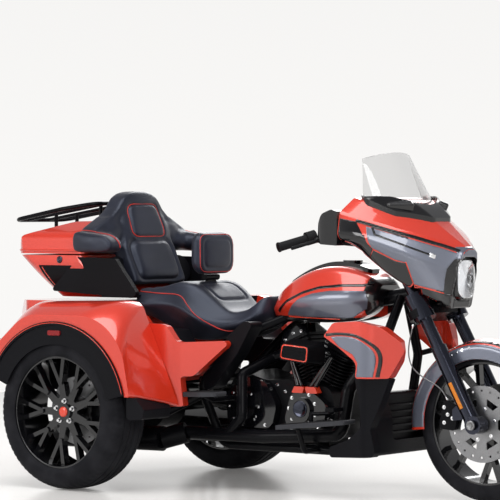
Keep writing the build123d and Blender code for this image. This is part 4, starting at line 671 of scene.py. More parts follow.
def screw_tree():
    """Node tree that sets a washer and a head on every point, turned to face outwards."""
    tree = bpy.data.node_groups.new("screw_heads", "GeometryNodeTree")
    add_socket(tree, "Points", "NodeSocketGeometry")
    sockets = {
        "radius": add_socket(tree, "Head radius", "NodeSocketFloat"),
        "height": add_socket(tree, "Head height", "NodeSocketFloat"),
        "sides": add_socket(tree, "Head sides", "NodeSocketInt"),
        "finish": add_socket(tree, "Finish", "NodeSocketMaterial"),
    }
    add_socket(tree, "Screws", "NodeSocketGeometry", "OUTPUT")
    nodes, links = tree.nodes, tree.links
    source = nodes.new("NodeGroupInput").outputs

    def share_of(size, share):
        """A share of one of the head's sizes."""
        node = math_node(nodes, "MULTIPLY", share)
        links.new(source[size], node.inputs[0])
        return node.outputs[0]

    head = nodes.new("GeometryNodeMeshCone")
    links.new(source["Head sides"], head.inputs["Vertices"])
    links.new(source["Head radius"], head.inputs["Radius Bottom"])
    links.new(share_of("Head radius", HEAD_CHAMFER), head.inputs["Radius Top"])
    links.new(source["Head height"], head.inputs["Depth"])
    washer = nodes.new("GeometryNodeMeshCylinder")
    washer.inputs["Vertices"].default_value = WASHER_SIDES
    links.new(share_of("Head radius", WASHER_SPREAD), washer.inputs["Radius"])
    links.new(share_of("Head height", WASHER_SHARE), washer.inputs["Depth"])
    joined = nodes.new("GeometryNodeJoinGeometry")
    links.new(head.outputs["Mesh"], joined.inputs[0])
    links.new(washer.outputs["Mesh"], joined.inputs[0])
    facing = nodes.new("GeometryNodeInputNamedAttribute")
    facing.data_type = "FLOAT_VECTOR"
    facing.inputs["Name"].default_value = "facing"
    turn = nodes.new("FunctionNodeAlignRotationToVector")
    turn.axis = "Z"
    links.new(facing.outputs["Attribute"], turn.inputs["Vector"])
    placed = nodes.new("GeometryNodeInstanceOnPoints")
    links.new(source["Points"], placed.inputs["Points"])
    links.new(joined.outputs[0], placed.inputs["Instance"])
    links.new(turn.outputs[0], placed.inputs["Rotation"])
    real = nodes.new("GeometryNodeRealizeInstances")
    links.new(placed.outputs[0], real.inputs[0])
    coated = nodes.new("GeometryNodeSetMaterial")
    links.new(real.outputs[0], coated.inputs["Geometry"])
    links.new(source["Finish"], coated.inputs["Material"])
    links.new(coated.outputs[0], nodes.new("NodeGroupOutput").inputs[0])
    return tree, sockets


SCREW_TREE, SCREW_SOCKETS = screw_tree()


def screws(name, hits, head, material, body, sides=6):
    """Screw heads at rows of (place, outward direction); head is (radius, height) in millimetres."""
    mesh = bpy.data.meshes.new(name)
    mesh.from_pydata([hit[0] for hit in hits], [], [])
    facing = mesh.attributes.new("facing", "FLOAT_VECTOR", "POINT")
    for row, hit in zip(facing.data, hits):
        row.vector = hit[1]
    thing = new_object(name, mesh)
    radius, height = head
    repeat = thing.modifiers.new("screws", "NODES")
    repeat.node_group = SCREW_TREE
    repeat[SCREW_SOCKETS["radius"]] = radius * MM
    repeat[SCREW_SOCKETS["height"]] = height * MM
    repeat[SCREW_SOCKETS["sides"]] = sides
    repeat[SCREW_SOCKETS["finish"]] = material
    baked(thing)
    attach(thing, body)
    return thing


# Soft goods

# Axes that a sewn side of a pad faces along
AHEAD, UP = 0, 2
# Skins: their pitch, welding and easing, then the cloth that fills them
SKIN_PITCH = 6 * MM
WELD = 0.02 * MM
EASE = 0.5
FILL_FRAMES, FILL_PRESSURE, FILL_SHARE = 20, 4.0, 0.8
CLOTH_QUALITY = 4
EVEN_PASSES = 14
# Seams: how far a side must face their axis, and their reach in widths
SEAM_FACING, SEAM_REACH = 0.25, 3
PIPING_RADIUS, PIPING_SINK, PIPING_SIDES = 2.2, 0.35, 8


def soft_form(name, node, draw_in, relax, added=None):
    """Closed skin of a CAD soft solid, drawn in before it is filled; added(bm) may add lumps first."""
    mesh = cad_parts[node].data.copy()
    rework(mesh, lambda bm: bmesh.ops.remove_doubles(bm, verts=bm.verts, dist=WELD))
    if added:
        rework(mesh, added)
    thing = new_object(name, mesh)
    cover = thing.modifiers.new("cover", "REMESH")
    cover.mode = "VOXEL"
    cover.voxel_size = SKIN_PITCH
    ease = thing.modifiers.new("ease", "SMOOTH")
    ease.factor = EASE
    ease.iterations = relax
    inward = thing.modifiers.new("draw_in", "DISPLACE")
    inward.mid_level = 0
    inward.strength = -draw_in * MM
    return baked(thing)


def evened(amounts, mesh, passes):
    """Amounts at a mesh's points, each averaged with its neighbours a number of times."""
    edges = [tuple(edge.vertices) for edge in mesh.edges]
    for _ in range(passes):
        total = list(amounts)
        count = [1] * len(amounts)
        for a, b in edges:
            total[a] += amounts[b]
            total[b] += amounts[a]
            count[a] += 1
            count[b] += 1
        amounts = [t / n for t, n in zip(total, count)]
    return amounts


def cloth_swell(thing, cap, held, rest, outward):
    """How far each point of a skin moves outwards when cloth pressure fills it, up to the cap."""
    base = thing.vertex_groups.new(name="held")
    base.add([i for i, co in enumerate(rest) if held(co)], 1.0, "REPLACE")
    filling = thing.modifiers.new("filling", "CLOTH")
    settings = filling.settings
    settings.quality = CLOTH_QUALITY
    settings.use_pressure = True
    settings.uniform_pressure_force = FILL_PRESSURE
    settings.effector_weights.gravity = 0
    settings.vertex_group_mass = "held"
    filling.collision_settings.use_collision = False
    scene = bpy.context.scene
    for number in range(1, FILL_FRAMES + 1):
        scene.frame_set(number)
    swollen = thing.evaluated_get(bpy.context.evaluated_depsgraph_get()).to_mesh()
    ends = [v.co.copy() for v in swollen.vertices]
    thing.modifiers.clear()
    thing.vertex_groups.clear()
    scene.frame_set(1)
    swell = [(end - start).dot(out) for start, end, out in zip(rest, ends, outward)]
    return [min(cap * MM, max(0.0, amount)) for amount in swell]


def fill(thing, cap, held):
    """Swells a skin with cloth pressure, each point by the cap at most; held points stay on their base."""
    rest = [v.co.copy() for v in thing.data.vertices]
    outward = [v.normal.copy() for v in thing.data.vertices]
    swell = cloth_swell(thing, cap, held, rest, outward)
    swell = evened(swell, thing.data, EVEN_PASSES)
    for vertex, start, out, amount in zip(thing.data.vertices, rest, outward, swell):
        vertex.co = start + out * amount
    return thing


def sew(thing, panel, axis, depth, width):
    """Pulls a sewn channel round a flat panel into the side of a pad that faces along an axis."""
    rows = [Vector(p) * MM for p in panel + panel[:1]]
    flat = [i for i in (0, 1, 2) if i != axis]
    outward = [v.normal.copy() for v in thing.data.vertices]
    for vertex, out in zip(thing.data.vertices, outward):
        if out[axis] < SEAM_FACING:
            continue
        here = Vector((vertex.co[flat[0]], vertex.co[flat[1]]))
        near = width * SEAM_REACH * MM
        for a, b in zip(rows, rows[1:]):
            spot, share = intersect_point_line(here, a, b)
            spot = a if share < 0 else b if share > 1 else spot
            near = min(near, (here - spot.to_2d()).length)
        pull = math.exp(-((near / (width * MM)) ** 2)) * depth * MM
        vertex.co -= out * pull
    return thing


def finish_pad(thing, node):
    """One subdivision, smooth shading and leather; the pad rides on the chassis and its CAD node is hidden.
    """
    thing.data.materials.clear()
    thing.data.materials.append(leather)
    for face in thing.data.polygons:
        face.use_smooth = True
        face.material_index = 0
    finer = thing.modifiers.new("finer", "SUBSURF")
    finer.levels = 1
    finer.render_levels = 1
    baked(thing)
    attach(thing, CHASSIS)
    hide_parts(node)
    return thing


def pad(name, node, draw_in, relax, cap, held, seams, added=None, shaped=None):
    """A filled pad with seams of (panel, axis, depth, width); shaped(thing) may bend its skin first."""
    thing = soft_form(name, node, draw_in, relax, added)
    if shaped:
        shaped(thing)
    fill(thing, cap, held)
    for seam in seams:
        sew(thing, *seam)
    return finish_pad(thing, node)


def piping(name, thing, points, radius=PIPING_RADIUS, closed=False):
    """Red piping laid on a pad along points in millimetres."""
    skin = Skin(thing)
    rows = []
    for point in points:
        place, normal = skin.nearest(Vector(point) * MM)
        rows.append(place + normal * radius * PIPING_SINK * MM)
    return tube(name, rows, radius * MM, piping_red, CHASSIS, closed, PIPING_SIDES)


def front_piping(name, thing, outline, radius=PIPING_RADIUS):
    """Closed piping on the front of a pad, along an outline in (y, z)."""
    skin = Skin(thing)
    hits = [skin.from_front(y * MM, z * MM) for y, z in outline]
    return piping(name, thing, [hit[0] / MM for hit in hits if hit], radius, closed=True)


# Piped edges of the saddle and the arms, in (x, y, z)
SEAT_EDGE = [
    (-590, 200, 806), (-480, 202, 800), (-380, 200, 792), (-325, 212, 752), (-280, 216, 712),
    (-220, 204, 676), (-150, 166, 640), (-80, 130, 646),
]
ARM_EDGE = [(-806, 318, 1052), (-740, 316, 1052), (-670, 312, 1038), (-620, 304, 1008), (-606, 296, 984)]
# Sewn panels of the backs in (y, z), and of the saddle in (x, y)
BACK_PANEL = rounded([(-113, 1030), (113, 1030), (100, 1168), (-100, 1168)], 40)
LUMBAR_PANEL = rounded([(-140, 846), (140, 846), (140, 1016), (-140, 1016)], 50)
BUCKET_PANEL = rounded([(-340, -104), (-236, -104), (-236, 104), (-340, 104)], 36)
PASSENGER_PANEL = rounded([(-572, -150), (-392, -150), (-392, 150), (-572, 150)], 40)
RIDER_PANEL = rounded([(-92, 900), (92, 900), (92, 1022), (-92, 1022)], 34)
RIDER_EDGE = rounded([(-114, 884), (114, 884), (114, 1040), (-114, 1040)], 44)
RIDER_PIPING_RADIUS = PIPING_RADIUS * 0.8
# Lumps that round the passenger's back pad and lead it into its arms: centre and half sizes
WING_FILLERS = [
    ((-772, 40, 1104), (42, 146, 124)),
    ((-752, 176, 1040), (44, 96, 66)),
    ((-744, 258, 1012), (58, 70, 44)),
    ((-722, 292, 1010), (92, 42, 42)),
]


def wing_fillers(bm):
    """Adds soft lumps to a pad's mesh, so that its remeshed skin flows from the back into the arms."""
    for (x, y, z), half in WING_FILLERS:
        for hand in (RIGHT, LEFT):
            made = bmesh.ops.create_icosphere(bm, subdivisions=3, radius=MM)
            for vertex in made["verts"]:
                vertex.co = Vector((x, hand * y, z)) * MM + Vector(c * h for c, h in zip(vertex.co, half))


# Rounding of the backrest: where it starts and ends, its fall all over and at the corners
CROWN_START, CROWN_END = 1110, 1230
CROWN_FALL, CROWN_DROP = 8, 44
CROWN_HALF, CROWN_POWER = 150, 2.4


def crown(thing):
    """Rounds the top of the passenger's back pad, its corners most."""
    for vertex in thing.data.vertices:
        share = min(1.0, max(0.0, (vertex.co.z / MM - CROWN_START) / (CROWN_END - CROWN_START)))
        aside = min(1.0, abs(vertex.co.y / MM) / CROWN_HALF)
        vertex.co.z -= share * (CROWN_FALL + CROWN_DROP * aside ** CROWN_POWER) * MM
    return thing


# Where each pad is held on its base, in metres
SADDLE_BASE_Z, SADDLE_NOSE_X = 0.63, -0.02
RIDER_PAD_BACK, BACKREST_BACK = -0.375, -0.800


def upholstery():
    """The saddle, the rider's back pad and the passenger's wrap-round backrest."""
    saddle = pad(
        "saddle", "seat", draw_in=4, relax=12, cap=10,
        held=lambda co: co.z < SADDLE_BASE_Z or co.x > SADDLE_NOSE_X,
        seams=[(BUCKET_PANEL, UP, 6, 7), (PASSENGER_PANEL, UP, 5, 7)],
    )
    back_pad = pad(
        "rider_back_pad", "rider_backrest", draw_in=3, relax=14, cap=12,
        held=lambda co: co.x < RIDER_PAD_BACK,
        seams=[(RIDER_PANEL, AHEAD, 4, 6)],
    )
    front_piping("rider_pad_piping", back_pad, RIDER_EDGE, RIDER_PIPING_RADIUS)
    backrest = pad(
        "passenger_back_pad", "passenger_backrest", draw_in=0, relax=40, cap=16,
        held=lambda co: co.x < BACKREST_BACK,
        seams=[(BACK_PANEL, AHEAD, 8, 8), (LUMBAR_PANEL, AHEAD, 10, 10)],
        added=wing_fillers, shaped=crown,
    )
    front_piping("back_panel_piping", backrest, BACK_PANEL)
    for hand, side in SIDES:
        edge = [(x, hand * y, z) for x, y, z in SEAT_EDGE]
        piping(f"saddle_piping_{side}", saddle, curve_through(edge))
        arm = [(x, hand * y, z) for x, y, z in ARM_EDGE]
        piping(f"arm_piping_{side}", backrest, curve_through(arm))


upholstery()


# Tyres with their tread

# Tread: its depth, then the half width, edge and clearance of a groove
TREAD_DEPTH = 6.0
GROOVE_HALF, GROOVE_EDGE, GROOVE_CLEAR = 4.0, 0.6, 1.4
TYRE_BELLY = 0.62
TREAD_ROWS, TYRE_STEPS = 56, 288
# Slots round a shoulder, where they start and end across it, and their share of the tread's depth
SHOULDER_SLOTS = 72
SLOT_INNER, SLOT_OUTER, SLOT_SHARE = 0.62, 0.93, 0.5


def tread_profile(half, grooves):
    """Rows of (share of the half width, depth of cut) across a tyre, with an edge beside every groove."""
    wide, edge = GROOVE_HALF * MM / half, GROOVE_EDGE * MM / half
    rows = []
    for i in range(TREAD_ROWS + 1):
        across = -math.cos(math.pi * i / TREAD_ROWS)
        share = math.copysign(abs(across) ** TYRE_BELLY, across)
        if all(abs(abs(share) - place) > wide * GROOVE_CLEAR for place in grooves):
            rows.append((share, 0.0))
    for place in {hand * place for place in grooves for hand in (RIGHT, LEFT)}:
        for aside, cut in ((wide + edge, 0.0), (wide, TREAD_DEPTH)):
            rows.append((place - aside, cut))
            rows.append((place + aside, cut))
    return sorted(rows)


def tyre(node, body, depth, grooves, roundness):
    """Road tyre on the CAD tyre's box: rounded casing, circular grooves and slots across its shoulders."""
    low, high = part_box(node)
    centre = (low + high) / 2
    outer, half = (high.z - low.z) / 2, (high.y - low.y) / 2
    rim = outer - depth * MM
    profile = tread_profile(half, grooves)
    verts = []
    for step in range(TYRE_STEPS):
        turn = 2 * math.pi * step / TYRE_STEPS
        slotted = step % (TYRE_STEPS // SHOULDER_SLOTS) == 0
        for share, cut in profile:
            rise = max(0.0, 1 - abs(share) ** (2 / TYRE_BELLY)) ** (roundness / 2)
            if slotted and SLOT_INNER < abs(share) < SLOT_OUTER:
                cut = TREAD_DEPTH * SLOT_SHARE
            reach = rim + (outer - rim) * rise - cut * MM
            across = centre.y + half * share
            verts.append((centre.x + reach * math.cos(turn), across, centre.z + reach * math.sin(turn)))
    faces = ring_faces(TYRE_STEPS, len(profile), closed=True)
    thing = piece(f"{node}_tread", verts, faces, tyre_black, body)
    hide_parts(node)
    return thing


# Tyres: node, body, depth of the casing, grooves as shares of the half width, and roundness of the crown
TYRES = [
    ("front_tyre", FRONT_WHEEL, 69, (0.0, 0.45), 0.7),
    ("rear_tyre_right", RIGHT_WHEEL, 89, (0.14, 0.48), 0.42),
    ("rear_tyre_left", LEFT_WHEEL, 89, (0.14, 0.48), 0.42),
]
for row in TYRES:
    tyre(*row)


# Painted films and stripes

STRIPE = 11
PINSTRIPE = 3.5


def lowered(path, drop):
    """A flat path moved down."""
    return [(a, b - drop) for a, b in path]


# Line where the fairing's hood meets its side, then the fields below it, all in (x, z)
FAIRING_CREASE = [(600, 1111), (620, 1104), (700, 1074), (780, 1046), (860, 1012), (905, 990)]
FAIRING_GREY_TIP = (634, 1080)
FAIRING_GREY_DROP, FAIRING_STRIPE_DROP = 20, 9
FAIRING_GREY_LOW = [
    (907, 962), (890, 946), (872, 912), (864, 870), (858, 824), (766, 852), (754, 938), (719, 950),
    (652, 996),
]
FAIRING_WING_END = [(548, 1112), (602, 1098), (632, 1042), (612, 1040), (584, 1028), (548, 1032)]
FAIRING_COWL = [
    (622, 952), (654, 986), (719, 944), (752, 936), (764, 850), (858, 818), (930, 802), (936, 746),
    (860, 766), (782, 814), (702, 870),
]
FAIRING_UNDERWING = [
    (548, 1036), (584, 1032), (612, 1044), (634, 1046), (642, 1012), (654, 990), (622, 952), (590, 984),
    (548, 1020),
]
FAIRING_PINSTRIPE = [(754, 941), (764, 850), (858, 817)]
LAMP_BEZEL = [(905, 976), (880, 950), (862, 912), (854, 870), (848, 812), (935, 798), (938, 966)]
SIGNAL_LOW = [(652, 1076), (664, 1047), (740, 1012), (824, 970)]
SIGNAL_HIGH = [(652, 1076), (700, 1058), (762, 1033)]
SIGNAL_LOW_WIDTH, SIGNAL_HIGH_WIDTH = 7, 4
SIGNAL_TIP = [(826, 976), (842, 968), (840, 952), (824, 960)]
# Front view fields in (y, z)
FAIRING_BROW = [(-66, 998), (66, 998), (70, 950), (-70, 950)]
FAIRING_CHIN = [(-60, 800), (60, 800), (56, 744), (-56, 744)]

# Tank, leg shields, front fender, luggage box, arches and air cleaner, in (x, z)
TANK_STRIPE = [(60, 728), (129, 774), (214, 810), (294, 831), (401, 841), (484, 842), (520, 846)]
TANK_GREY = [
    (113, 715), (160, 758), (194, 783), (263, 807), (348, 819), (440, 821), (506, 820), (516, 785),
    (506, 750), (446, 712), (385, 709),
]
TANK_PINSTRIPE = [(116, 710), (386, 705)]

SHIELD_STRIPE = curve_through(
    [(452, 652), (520, 657), (596, 649), (656, 614), (676, 566), (668, 490)], count=4,
)
SHIELD_INNER = curve_through(
    [(474, 644), (522, 648), (590, 640), (645, 607), (664, 564), (656, 490)], count=4,
)
SHIELD_GREY = SHIELD_INNER + [(592, 490), (598, 545), (575, 578), (512, 608)]

# Front fender's fields round its centre: insets from its radius, and angles in degrees
FENDER_CENTRE = (1010, 306)
FENDER_RADIUS = 334
FENDER_TAIL = 184
FENDER_GREY_INSET_HIGH, FENDER_GREY_INSET_LOW = 20, 77
FENDER_GREY_START_HIGH, FENDER_GREY_START_LOW = 66, 60
FENDER_STRIPE_INSET, FENDER_STRIPE_START, FENDER_STRIPE = 11, 24, 8
BOX_PANEL = [(-1066, 908), (-880, 908), (-990, 800), (-1002, 800)]
BOX_PANEL_BEND = 8
BOX_PANEL_LINE = [(-1046, 901), (-990, 812)]
ARCH_CENTRE = (-650, 318)
ARCH_LINE_RADIUS, ARCH_LINE = 366, 2.6
ARCH_START, ARCH_END = 14, 166
CLEANER_PANEL = rounded([(162, 546), (292, 532), (298, 594), (172, 604)], 14)
CLEANER_INSET = rounded([(167, 551), (287, 537), (292, 590), (176, 599)], 12)


def fairing_livery():
    """Red hood over a grey side, black cowl and lamp surround, slim signal lines."""
    shell = skin_of("fairing_shell")
    grey = [FAIRING_GREY_TIP] + lowered(FAIRING_CREASE[2:], FAIRING_GREY_DROP) + FAIRING_GREY_LOW
    stripe = band(lowered(FAIRING_CREASE, FAIRING_STRIPE_DROP), STRIPE)
    for name, outline, material, lift in (
        ("fairing_grey", grey, grey_paint, FILM_LIFT),
        ("fairing_stripe", stripe, black_enamel, OVER_FILM),
        ("fairing_wing_end", FAIRING_WING_END, black_enamel, FILM_LIFT),
        ("fairing_underwing", FAIRING_UNDERWING, black_enamel, UNDER_FILM),
        ("fairing_cowl", FAIRING_COWL, black_enamel, UNDER_FILM),
        ("lamp_bezel", LAMP_BEZEL, black_enamel, UNDER_FILM),
        ("fairing_pinstripe", band(FAIRING_PINSTRIPE, PINSTRIPE), bright_red, OVER_FILM),
        ("signal_low", band(SIGNAL_LOW, SIGNAL_LOW_WIDTH), black_enamel, OVER_FILM),
        ("signal_high", band(SIGNAL_HIGH, SIGNAL_HIGH_WIDTH), black_enamel, OVER_FILM),
        ("signal_tip", SIGNAL_TIP, chrome, OVER_FILM),
    ):
        side_film(name, shell, outline, material, STEERING, lift)
    film("fairing_brow", shell.from_front, FAIRING_BROW, grey_paint, STEERING)
    film("fairing_chin", shell.from_front, FAIRING_CHIN, black_enamel, STEERING)


def fender_arc(inset, start, end):
    """Arc on the front fender's side, at an inset from its radius."""
    return arc(FENDER_CENTRE, FENDER_RADIUS - inset, start, end)


def body_livery():
    """Fields and lines on the tank, leg shields, front fender, luggage box, arches and air cleaner."""
    fender_grey = fender_arc(FENDER_GREY_INSET_HIGH, FENDER_GREY_START_HIGH, FENDER_TAIL)
    fender_grey += fender_arc(FENDER_GREY_INSET_LOW, FENDER_TAIL, FENDER_GREY_START_LOW)
    fender_stripe = band(fender_arc(FENDER_STRIPE_INSET, FENDER_STRIPE_START, FENDER_TAIL), FENDER_STRIPE)
    arch_line = band(arc(ARCH_CENTRE, ARCH_LINE_RADIUS, ARCH_START, ARCH_END), ARCH_LINE)
    for name, node, outline, material, body, lift in (
        ("tank_stripe", "fuel_tank", band(TANK_STRIPE, STRIPE), black_enamel, CHASSIS, FILM_LIFT),
        ("tank_grey", "fuel_tank", TANK_GREY, grey_paint, CHASSIS, FILM_LIFT),
        ("tank_pinstripe", "fuel_tank", band(TANK_PINSTRIPE, PINSTRIPE), bright_red, CHASSIS, OVER_FILM),
        ("shield_grey", "lower_fairings", SHIELD_GREY, grey_paint, CHASSIS, FILM_LIFT),
        ("shield_stripe", "lower_fairings", band(SHIELD_STRIPE, STRIPE), black_enamel, CHASSIS, OVER_FILM),
        ("fender_grey", "front_fender", fender_grey, grey_paint, STEERING, FILM_LIFT),
        ("fender_stripe", "front_fender", fender_stripe, black_enamel, STEERING, FILM_LIFT),
        ("box_panel", "luggage_box", rounded(BOX_PANEL, BOX_PANEL_BEND), black_plastic, CHASSIS, FILM_LIFT),
        ("box_panel_line", "luggage_box", band(BOX_PANEL_LINE, PINSTRIPE), bright_red, CHASSIS, OVER_FILM),
        ("arch_line", "arch_trims", arch_line, bright_red, CHASSIS, UNDER_FILM),
    ):
        side_film(name, skin_of(node), outline, material, body, lift)
    cleaner = skin_of("air_cleaner")
    film("cleaner_edge", cleaner.from_right, CLEANER_PANEL, bright_red, CHASSIS)
    film("cleaner_panel", cleaner.from_right, CLEANER_INSET, black_satin, CHASSIS, OVER_FILM)


fairing_livery()
body_livery()


# Headlamp

LAMP_FACE, LAMP_HEIGHT = 890, 872
LAMP_HALF = (64, 78)
RING_POINTS, SQUARENESS = 48, 0.62
# Rounded square rings: half width, half height and distance ahead of the lamp's face
LAMP_CASE = [(69, 83, -100), (69, 83, 6), (65, 79, 8), (64, 78, -14), (62, 76, -20)]
LAMP_DISH = [(62, 76, -19), (62, 76, -2), (58, 72, -4), (50, 64, -12), (20, 30, -15)]
LAMP_BAR = [(58, 4, -10), (58, 4, 4), (54, 2.5, 6)]
# Lens: bulge, distances ahead of the face, and shares of its half sizes over the front and back again
LENS_BULGE, LENS_FRONT, LENS_BACK = 24, 10, 7
LENS_FRONT_SHARES = (1.0, 0.9, 0.72, 0.5, 0.26, 0.04)
LENS_BACK_SHARES = (0.04, 0.26, 0.5, 0.72, 0.9, 0.98)
# Reflector bowls: places in (y, z) from the lamp's centre, seat behind its face, turned profiles
LED_ROWS = [(-29, 41), (29, 41), (-29, -2), (29, -2), (-29, -45), (29, -45)]
LED_SEAT = 12
LED_BOWL = [(-4, 12), (8, 21), (15, 23), (15, 21), (6, 15), (0, 6)]
LED_EMITTER = [(-12, 7), (-2, 8), (3, 6), (5, 3)]


def squared_ring(half_y, half_z, ahead):
    """Points of a rounded square, some way ahead of the lamp's face."""
    points = []
    for k in range(RING_POINTS):
        angle = 2 * math.pi * k / RING_POINTS
        y = math.copysign(abs(math.cos(angle)) ** SQUARENESS, math.cos(angle)) * half_y
        z = math.copysign(abs(math.sin(angle)) ** SQUARENESS, math.sin(angle)) * half_z
        points.append(((LAMP_FACE + ahead) * MM, y * MM, (LAMP_HEIGHT + z) * MM))
    return points


def ringed(name, rows, material):
    """A closed lamp piece from rows of (half width, half height, distance ahead), with flat ends."""
    verts = [point for row in rows for point in squared_ring(*row)]
    *sides, first, last = ring_faces(len(rows), RING_POINTS)
    # The first end is split into triangles from the ring's own order, which the lens shows
    return piece(name, verts, sides + [first[::-1], last], material, STEERING)


def headlamp():
    """Dished housing, six reflector bowls with their emitters, a dividing bar and a bulged clear lens."""
    housing = ringed("lamp_housing", LAMP_CASE, black_enamel)
    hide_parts("headlamp")
    ringed("lamp_dish", LAMP_DISH, reflector)
    for number, (y, z) in enumerate(LED_ROWS):
        centre = ((LAMP_FACE - LED_SEAT) * MM, y * MM, (LAMP_HEIGHT + z) * MM)
        turned(f"lamp_bowl_{number}", LED_BOWL, centre, FORWARD, chrome, STEERING, sides=24)
        turned(f"lamp_emitter_{number}", LED_EMITTER, centre, FORWARD, lens_clear, STEERING, sides=20)
    half_y, half_z = LAMP_HALF
    lens = []
    for seat, shares in ((LENS_FRONT, LENS_FRONT_SHARES), (LENS_BACK, LENS_BACK_SHARES)):
        for share in shares:
            lens.append((half_y * share, half_z * share, seat + LENS_BULGE * (1 - share ** 2)))
    ringed("lamp_lens", lens, lens_clear)
    ringed("lamp_bar", LAMP_BAR, black_enamel)


headlamp()


# Fasteners, hubs and small metal parts


def side_screws(name, skin, spots, head, body, hand=RIGHT, sides=6):
    """Bright screw heads on a skin, at flat places seen from one side, in metres."""
    hits = [skin.from_side(x, z, hand) for x, z in spots]
    return screws(name, [hit for hit in hits if hit], head, chrome, body, sides)


# Heads of the screws: radius and height
LUG_NUT, COVER_SCREW, ROCKER_SCREW = (8, 16), (5.5, 7), (5, 7)
CALIPER_SCREW, FENDER_SCREW, DISC_SCREW = (6, 6), (4, 4), (6, 6)
FENDER_SCREW_SIDES = 10
# Circles of screws: radius, count and angle of the first
HUB_LUGS = (44, 5, 90)
CAM_SCREWS = (66, 9, 20)
GEARBOX_SCREWS = (74, 8, 0)
DISC_SCREWS = (62, 6, 15)
# Turned profiles: distance along the axis and radius
HUB_CAP = [(-2, 21), (3, 21), (6, 18.5), (7, 9), (7.5, 3)]
COVER_PLATE = [(-1, 34), (2.5, 34), (3.5, 31), (2, 28), (2, 6)]
AXLE_NUT = [(-2, 19), (5, 19), (6.5, 17), (6.5, 11), (2, 10), (2, 3)]
# Places in (x, z)
CAM_COVER = (222, 341)
GEARBOX_COVER = (-70, 340)
FRONT_AXLE = (1020, 310)
CASE_SPOTS = [
    (-10, 300), (40, 268), (90, 252), (140, 250), (300, 262), (336, 296), (330, 420), (-120, 262),
    (-140, 430), (20, 452), (70, 430), (110, 404),
]
CALIPER_SPOTS = [(868, 372), (884, 344), (868, 312), (906, 330)]
FENDER_SPOTS = [(884, 574), (908, 586), (932, 596), (962, 606)]
ROCKER_SPOTS = [(120, 640), (160, 650), (84, 612), (330, 620), (372, 600), (300, 640)]


def metalwork():
    """Lug nuts and hub caps, screws of the engine's covers, and the front wheel's screws and axle nuts."""
    for wheel, hand, body in (("right", RIGHT, RIGHT_WHEEL), ("left", LEFT, LEFT_WHEEL)):
        rim = skin_of(f"rear_rim_{wheel}")
        spots = on_circle((REAR_AXLE.x / MM, REAR_AXLE.z / MM), *HUB_LUGS)
        side_screws(f"lug_nuts_{wheel}", rim, spots, LUG_NUT, body, hand)
        face, _ = rim.from_side(REAR_AXLE.x, REAR_AXLE.z, hand)
        turned(f"hub_cap_{wheel}", HUB_CAP, face, (0, hand, 0), bright_red, body)
    covers = skin_of("engine_covers")
    side_screws("cam_screws", covers, on_circle(CAM_COVER, *CAM_SCREWS), COVER_SCREW, CHASSIS)
    side_screws("gearbox_screws", covers, on_circle(GEARBOX_COVER, *GEARBOX_SCREWS), COVER_SCREW, CHASSIS)
    engine = skin_of("engine_covers", "engine_case", "engine_cylinders", "valve_gear")
    side_screws("case_screws", engine, in_metres(CASE_SPOTS), COVER_SCREW, CHASSIS)
    side_screws("rocker_screws", engine, in_metres(ROCKER_SPOTS), ROCKER_SCREW, CHASSIS)
    place, _ = covers.from_side(CAM_COVER[0] * MM, CAM_COVER[1] * MM, RIGHT)
    turned("cam_cover_plate", COVER_PLATE, place, (0, RIGHT, 0), black_chrome, CHASSIS)
    caliper, fender = skin_of("front_calipers", "fork_legs"), skin_of("front_fender")
    disc, fork = skin_of("front_discs"), skin_of("fork_legs")
    for hand, side in SIDES:
        spots = in_metres(CALIPER_SPOTS)
        side_screws(f"caliper_screws_{side}", caliper, spots, CALIPER_SCREW, STEERING, hand)
        spots = in_metres(FENDER_SPOTS)
        side_screws(f"fender_screws_{side}", fender, spots, FENDER_SCREW, STEERING, hand, FENDER_SCREW_SIDES)
        spots = on_circle(FRONT_AXLE, *DISC_SCREWS)
        side_screws(f"disc_screws_{side}", disc, spots, DISC_SCREW, FRONT_WHEEL, hand)
        face, _ = fork.from_side(FRONT_AXLE[0] * MM, FRONT_AXLE[1] * MM, hand)
        turned(f"axle_nut_{side}", AXLE_NUT, face, (0, hand, 0), steel, STEERING)


metalwork()


# Brake hose from the fork's sleeve to the right caliper, in millimetres

HOSE_RADIUS = 2.6
HOSE_ROUTE = [
    (742, -142, 694), (736, -143, 668), (722, -140, 622), (714, -134, 570), (730, -130, 520),
    (782, -128, 484), (836, -122, 460), (866, -108, 428), (876, -98, 396),
]
HOSE_FITTING = [(-6, 5), (10, 5), (12, 4), (18, 3.6)]


def brake_hose():
    """Braided hose: one smooth curve that hangs between its two fittings."""
    curve = bpy.data.curves.new("brake_hose", "CURVE")
    curve.dimensions = "3D"
    spline = curve.splines.new("NURBS")
    spline.points.add(len(HOSE_ROUTE) - 1)
    for point, place in zip(spline.points, HOSE_ROUTE):
        point.co = (*(Vector(place) * MM), 1)
    spline.order_u = 3
    spline.use_endpoint_u = True
    curve.bevel_depth = HOSE_RADIUS * MM
    curve.bevel_resolution = 3
    curve.materials.append(steel)
    hose = new_object("brake_hose", curve)
    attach(hose, STEERING)
    for end, (here, ahead) in (("top", HOSE_ROUTE[:2]), ("caliper", HOSE_ROUTE[:-3:-1])):
        along = Vector(ahead) - Vector(here)
        turned(f"hose_fitting_{end}", HOSE_FITTING, Vector(here) * MM, along, chrome, STEERING, sides=16)


brake_hose()


# Luggage locks, lid lip, cockpit and board ribs

LATCH = (-948, 932)
LOCK_PLATE = [(-2, 15), (2, 15), (4, 12), (4, 7), (2, 6)]
# Footboards: name, then the limits of their ribs in x and y
BOARDS = [("rider", 224, 500, 256, 338), ("passenger", -192, -50, 330, 408)]
BOARD_RIBS = 7
# Section of a rib: distance across and rise
RIB_SECTION = [(-3, -1), (3, -1), (2, 3), (-2, 3)]


